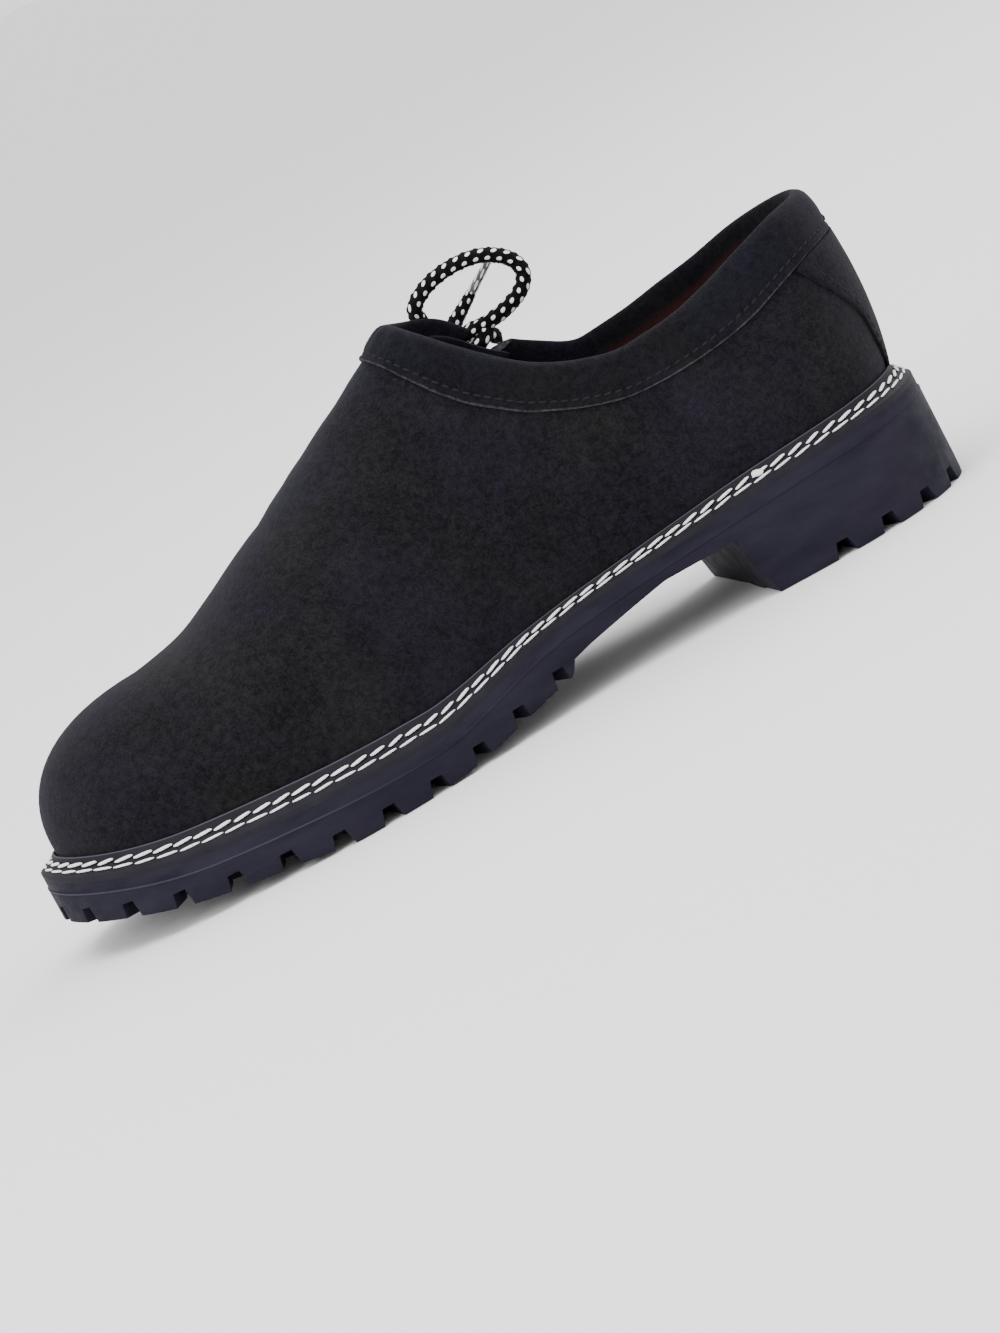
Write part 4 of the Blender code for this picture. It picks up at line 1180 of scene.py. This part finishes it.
# The welt is a strip of dark leather sewn round the whole shoe. It stands against the upper with a raised lip
# and slopes out to the sole's edge. Two rows of heavy white thread run in its channels: the inner row holds
# the welt to the upper with thick, bent stitches, the outer one holds the sole with longer, thinner ones.
WELT_WIDTH = 0.0078
WELT_EDGE = 0.0010
WELT_SECTION = [
    # out: share of the slope, down: share of the slope's drop, sink in metres
    (-0.02, 0.00, 0.0000),
    (0.02, -0.05, 0.0000),
    (0.10, -0.04, 0.0000),
    (0.15, 0.10, 0.0000),
    (0.20, 0.22, 0.0004),
    (0.32, 0.36, 0.0006),
    (0.50, 0.52, 0.0004),
    (0.66, 0.66, 0.0003),
    (0.80, 0.79, 0.0003),
    (0.92, 0.90, 0.0001),
    (0.985, 0.965, 0.0000),
    (1.00, 1.00, 0.0000),
]
WELT_PLAN = at_height(FEATHER, welt_top(FEATHER[:, 0]))
WELT_LEAN = skin(WELT_PLAN, FIT_GAP * 2) - TO_MIDDLE
WELT_FAR = FEATHER + FEATHER_NORMAL * WELT_WIDTH
INNER_THREAD = (0.0059, 0.0011, 0.0009)
OUTER_THREAD = (0.0065, 0.0008, 0.0007)
JOIN_COLUMNS = slice(41, 44)
JOIN_THREAD = (0.0038, 0.0026, 0.0019)


def raised(plan, height):
    return np.concatenate([plan, height[:, None]], axis=1) + TO_MIDDLE


def welt_ring(out, down, sink=0.0):
    """A ring on the welt's top face, between the lip at the upper and the edge over the sole."""
    lip = WELT_LEAN[:, :2]
    top = welt_top(FEATHER[:, 0])
    low = bed(WELT_FAR[:, 0]) + FIT_GAP + WELT_EDGE
    return raised(lip + (WELT_FAR - lip) * out, top + (low - top) * down - sink)


def ring_mesh(rings):
    """A surface through rings of points."""
    rings = np.array(rings)
    return grid_mesh(RING, len(rings) - 1, lambda i, j: rings[j, i % RING])


welt_rings = [welt_ring(*row) for row in WELT_SECTION]
welt_rings.append(raised(WELT_FAR, bed(WELT_FAR[:, 0]) - FIT_GAP))
welt_rings.append(raised(FEATHER + FEATHER_NORMAL * FIT_GAP * 2, bed(FEATHER[:, 0]) + FIT_GAP))
welt_rings.append(welt_rings[0])
# The welt's raised lip is painted lighter: partly its greyer leather, partly a painted highlight.
welt_leather = leather_look(
    "welt", (0.0040, 0.0036, 0.0066), (0.0110, 0.0100, 0.0160), 0.7, 0.3, lip=(0.05, 0.17))
welt = make_piece("sewn_welt", ring_mesh(welt_rings), welt_leather, sharp=50)
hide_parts("welt")
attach(welt, "root")


def welt_row(share):
    """A line along the welt's face and the face's own direction outwards from it."""
    down = share * 0.98 + 0.01
    near, here, far = (welt_ring(share + step, down + step) for step in (-0.1, 0.0, 0.1))
    run = np.roll(here, -1, 0) - np.roll(here, 1, 0)
    return here, unit(np.cross(far - near, run))


inner_line, inner_lift = welt_row(0.37)
outer_line, outer_lift = welt_row(0.68)
inner_row = stitch_row(
    "inner_stitches", inner_line, inner_lift, 0.0062, INNER_THREAD, white_thread,
    slant=-0.02, blunt=0.68, jitter=0.05, bend=-0.36, closed=True)
outer_row = stitch_row(
    "outer_stitches", outer_line, outer_lift, 0.0070, OUTER_THREAD, white_thread,
    blunt=0.68, jitter=0.04, bend=-0.25, closed=True)
thread_join = stitch_row(
    "thread_join", inner_line[JOIN_COLUMNS], inner_lift[JOIN_COLUMNS], 0.0040, JOIN_THREAD, white_thread,
    slant=0.5, blunt=0.7)
for piece in (inner_row, outer_row, thread_join):
    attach(piece, "root")


# The midsole is a plain rubber layer under the welt. Its side is flat with softened edges, and a fine raised
# line marks where the outsole is moulded on. Over the forepart the line has a painted highlight.
MIDSOLE_THICKNESS = 0.004
UNDERSIDE = [
    # along, share
    (-0.05, 0.00),
    (0.232, 0.00),
    (0.246, 0.82),
    (0.331, 0.88),
    (0.433, 0.72),
    (0.454, 0.67),
    (0.461, 0.47),
    (0.494, 0.42),
    (0.528, 0.34),
    (0.567, 0.23),
    (0.604, 0.10),
    (0.640, 0.00),
    (0.746, 0.00),
    (0.770, 0.09),
    (0.800, 0.18),
    (0.880, 0.33),
    (0.925, 0.43),
    (0.965, 0.52),
    (1.040, 0.61),
]
MIDSOLE_SIDE = [
    # past the edge, share of the way down, drop
    (-0.0001, 0.0, 0.0000),
    (0.0000, 0.0, 0.0004),
    (0.0000, 0.0, 0.0034),
    (0.0004, 0.0, 0.0037),
    (0.0004, 0.0, 0.0041),
    (0.0002, 0.0, 0.0044),
    (-0.0010, 1.0, 0.0000),
]
UPPER_FACE = (0.0, 0.55, 0.86)
MIDSOLE_FACE = (0.86, 0.55, 0.0)
SPINE_STEP = 0.0025
CENTRES = spine(np.round(spine(FEATHER[:, 0])[:, 0] / SPINE_STEP) * SPINE_STEP)


def midsole_foot(x):
    return bed(x) - MIDSOLE_THICKNESS


def outsole_top(x):
    return midsole_foot(x) - FIT_GAP


def underside(x):
    along = np.asarray(x) / LAST_LENGTH
    return np.interp(along, [r[0] for r in UNDERSIDE], [r[1] for r in UNDERSIDE]) * outsole_top(x)


def sole_mesh(side, lower_face, edge, top, foot):
    """One layer of the sole: rings over its upper face, down its side and back under its lower face."""
    section = [(share, 0.0, 0.0, 0.0) for share in UPPER_FACE] + [(1.0, *row) for row in side]
    section += [(share, 0.0, 1.0, 0.0) for share in lower_face]
    rings = []
    for share, past, down, drop in section:
        plan = CENTRES + (FEATHER + FEATHER_NORMAL * (edge + past) - CENTRES) * share
        x = plan[:, 0]
        rings.append(raised(plan, top(x) * (1 - down) + foot(x) * down - drop))
    return ring_mesh(rings)


def rubber_pattern():
    """Moulded rubber: a faint mottle, fine pits, and dust that lies in patches."""
    tree, takes = new_group("moulded_rubber", {"Pits": 1500.0}, ("Shade", "Rough", "Height"))
    place = object_place(tree)
    long = node(tree, "ShaderNodeMapping", {0: place, 3: (0.35, 1.0, 1.6)}).outputs[0]
    patch = noise(tree, long, 90.0, 5.0, 0.6)[0]
    pits = noise(tree, place, takes["Pits"], 3.0)[0]
    return give(
        tree, Shade=ranged(tree, patch, 0.20, 0.85), Rough=ranged(tree, patch, 0.3, 0.7, 0.78, 0.58),
        Height=weighted(tree, pits, 1.0, patch, 2.0))


MOULDED_RUBBER = rubber_pattern()


def rubber_look(name, dark, light, strength, line=None):
    look, tree, bsdf = new_look(name, Specular_IOR_Level=0.14)
    mould = node(tree, "ShaderNodeGroup", node_tree=MOULDED_RUBBER).outputs
    colour = mixed(tree, mould["Shade"], dark, light)
    if line:
        # A lighter strip over the forepart: a painted highlight along the raised moulding line.
        x = node(tree, "ShaderNodeSeparateXYZ", {0: object_place(tree)}).outputs[0]
        painted_line_highlight = maths(tree, "MULTIPLY", along_section(tree, *line), ranged(tree, x, 0.03, 0.08))
        colour = mixed(tree, painted_line_highlight, colour, (0.032, 0.029, 0.046))
    tree.links.new(mould["Rough"], bsdf.inputs["Roughness"])
    surface(tree, bsdf, colour, mould["Height"], strength, 0.0003)
    return look


# The midsole's raised moulding line carries a painted highlight over the forepart.
midsole_rubber = rubber_look(
    "midsole", (0.0050, 0.0041, 0.0108), (0.0150, 0.0127, 0.0245), 0.35, line=(0.50, 0.66))
outsole_rubber = rubber_look("outsole", (0.0045, 0.0037, 0.0100), (0.0138, 0.0117, 0.0232), 0.45)
midsole_mesh = sole_mesh(MIDSOLE_SIDE, MIDSOLE_FACE, WELT_WIDTH, bed, midsole_foot)
midsole = make_piece("rubber_midsole", midsole_mesh, midsole_rubber, sharp=55)
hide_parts("midsole")
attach(midsole, "root")


# The outsole is one moulding of hard rubber: a heel block with an undercut breast, an arched waist and a
# forepart that springs up to the toe. Trapezoid notches open its side between the lugs, and behind the lugs a
# channel runs round each flat, with grooves across the forepart.
SOLE_MARGIN = 0.0003
LUG_PITCH = 0.0158
LUG_DEPTH = 0.0047
NOTCH_MOUTH = 0.0085
NOTCH_ROOT = 0.0038
NOTCH_REACH = 0.0140
CHANNEL_WIDTH = 0.0045
CHANNEL_DEPTH = 0.0040
CHANNEL_STEP = 0.0060
TREAD_BACK = 0.474
HEEL_BREAST = 0.205
CUT_MARGIN = 0.003
GROOVES = np.linspace(0.52, 0.90, 6)
SOFTENED = 0.0004
OUTSOLE_EDGE = WELT_WIDTH + SOLE_MARGIN
OUTSOLE_SIDE = [
    # past the edge, share of the way down, drop
    (-0.0004, 0.0, 0.0000),
    (0.0000, 0.0, 0.0001),
    (0.0000, 0.5, 0.0000),
    (0.0000, 1.0, 0.0000),
]
TREAD_FACE = (0.86, 0.72, 0.55, 0.28, 0.0)
LOOP_COUNT = 2400
outsole_mesh = sole_mesh(OUTSOLE_SIDE, TREAD_FACE, OUTSOLE_EDGE, outsole_top, underside)
outsole = make_piece("lugged_outsole", outsole_mesh, outsole_rubber)
sole_loop = even_ring(FEATHER + FEATHER_NORMAL * OUTSOLE_EDGE, LOOP_COUNT)
along_loop = unit(np.roll(sole_loop, -1, 0) - np.roll(sole_loop, 1, 0))
sole_inward = np.stack([along_loop[:, 1], -along_loop[:, 0]], 1)


def treaded_stretches():
    """The two stretches of the sole's edge that carry lugs, each as a fine line with its normals."""
    for first, keep in (
        (int(sole_loop[:, 0].argmax()), sole_loop[:, 0] > TREAD_BACK * LAST_LENGTH),
        (int(sole_loop[:, 0].argmin()), sole_loop[:, 0] < HEEL_BREAST * LAST_LENGTH),
    ):
        turn = len(sole_loop) // 2 - first
        kept = np.roll(keep, turn)
        yield np.roll(sole_loop, turn, 0)[kept], np.roll(sole_inward, turn, 0)[kept]


def notch_block(mesh, place, inward):
    """A trapezoid block, from a cube, that opens one gap between two lugs."""
    root = float(underside(place[0])) + LUG_DEPTH
    along = np.array([-inward[1], inward[0]])
    for vert in bmesh.ops.create_cube(mesh, size=2)["verts"]:
        deep, side, top = vert.co
        reach = NOTCH_REACH if deep > 0 else -CUT_MARGIN
        width = NOTCH_ROOT if top > 0 else NOTCH_MOUTH
        point = place + inward * reach + along * side * width / 2
        vert.co = (*(point + TO_MIDDLE[:2]), root if top > 0 else -CUT_MARGIN)


def channel_strip(mesh, near, far):
    """A strip along two lines in plan, from under the sole up to the channel's depth."""
    rows = []
    for a, b in zip(near, far):
        corners = ((a, -CUT_MARGIN), (b, -CUT_MARGIN), (b, None), (a, None))
        rows.append([
            mesh.verts.new((*(p + TO_MIDDLE[:2]), h if h else float(underside(p[0])) + CHANNEL_DEPTH))
            for p, h in corners
        ])
    for here, there in zip(rows, rows[1:]):
        for k in range(4):
            mesh.faces.new((here[k], here[(k + 1) % 4], there[(k + 1) % 4], there[k]))
    mesh.faces.new(rows[0])
    mesh.faces.new(rows[-1])


blocks, strips, bars = bmesh.new(), bmesh.new(), bmesh.new()
for line, inward in treaded_stretches():
    run = run_along(line)
    for share in np.linspace(0, 1, int(run[-1] / LUG_PITCH) + 1):
        i = min(int(np.searchsorted(run, share * run[-1])), len(line) - 1)
        notch_block(blocks, line[i], inward[i])
    steps = np.linspace(0, len(line) - 1, 2 * round(run[-1] / CHANNEL_STEP / 2)).astype(int)
    inner = line[steps] + inward[steps] * (NOTCH_REACH - FIT_GAP)
    channel_strip(strips, inner, inner + inward[steps] * CHANNEL_WIDTH)
for x in GROOVES * LAST_LENGTH:
    inset = NOTCH_REACH - WELT_WIDTH + CHANNEL_WIDTH / 2
    across = (foot_at(x, MEDIAL)[1] - inset, foot_at(x, LATERAL)[1] + inset)
    near = np.array([(x - NOTCH_ROOT / 2, y) for y in across])
    channel_strip(bars, near, near + [NOTCH_ROOT, 0])
tread_cutters = []
for name, mesh in (("blocks", blocks), ("strips", strips), ("bars", bars)):
    bmesh.ops.recalc_face_normals(mesh, faces=mesh.faces)
    tread_cutters.append(make_piece(name, mesh, outsole_rubber))
outsole = cut_by(outsole, tread_cutters)
soften = outsole.modifiers.new("soften", "BEVEL")
soften.width = SOFTENED
soften.segments = 2
soften.limit_method = "ANGLE"
soften.angle_limit = math.radians(35)
soften.use_clamp_overlap = True
outsole = baked(outsole)
outsole.data.set_sharp_from_angle(angle=math.radians(45))
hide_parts("outsole")
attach(outsole, "root")
for cutter in cutters + tread_cutters:
    bpy.data.objects.remove(cutter, do_unlink=True)


# The studio is a wide pale floor under an even white sky, as in a catalogue picture. Three broad, soft lights
# stand above, in front of and behind the shoe.
FLOOR_DROP = 0.0002
FLOOR_SIZE = 40
SKY_STRENGTH = 1.5
LIGHTS = [
    # name, place, size, power
    ("above", (0.2, 0.5, 1.6), 1.2, 20),
    ("front", (1.3, 1.2, 0.8), 0.9, 13),
    ("back", (-1.2, -1.0, 1.2), 0.9, 10),
]
floor_mesh = bmesh.new()
bmesh.ops.create_grid(floor_mesh, x_segments=1, y_segments=1, size=FLOOR_SIZE)
bmesh.ops.translate(floor_mesh, verts=floor_mesh.verts, vec=(0, 0, -FLOOR_DROP))
floor = make_piece("floor", floor_mesh, new_look("floor", Roughness=0.9, Base_Color=(0.90, 0.90, 0.90, 1))[0])
world = bpy.data.worlds.new("studio")
world.use_nodes = True
sky = world.node_tree.nodes["Background"].inputs
sky[0].default_value = (1, 1, 1, 1)
sky[1].default_value = SKY_STRENGTH
bpy.context.scene.world = world
for name, place, size, power in LIGHTS:
    data = bpy.data.lights.new(name, "AREA")
    data.shape = "DISK"
    data.size = size
    data.energy = power
    lamp = bpy.data.objects.new(name, data)
    bpy.context.scene.collection.objects.link(lamp)
    lamp.location = place
    lamp.rotation_euler = (Vector(place) - Vector((0, 0, 0.05))).to_track_quat("Z", "Y").to_euler()
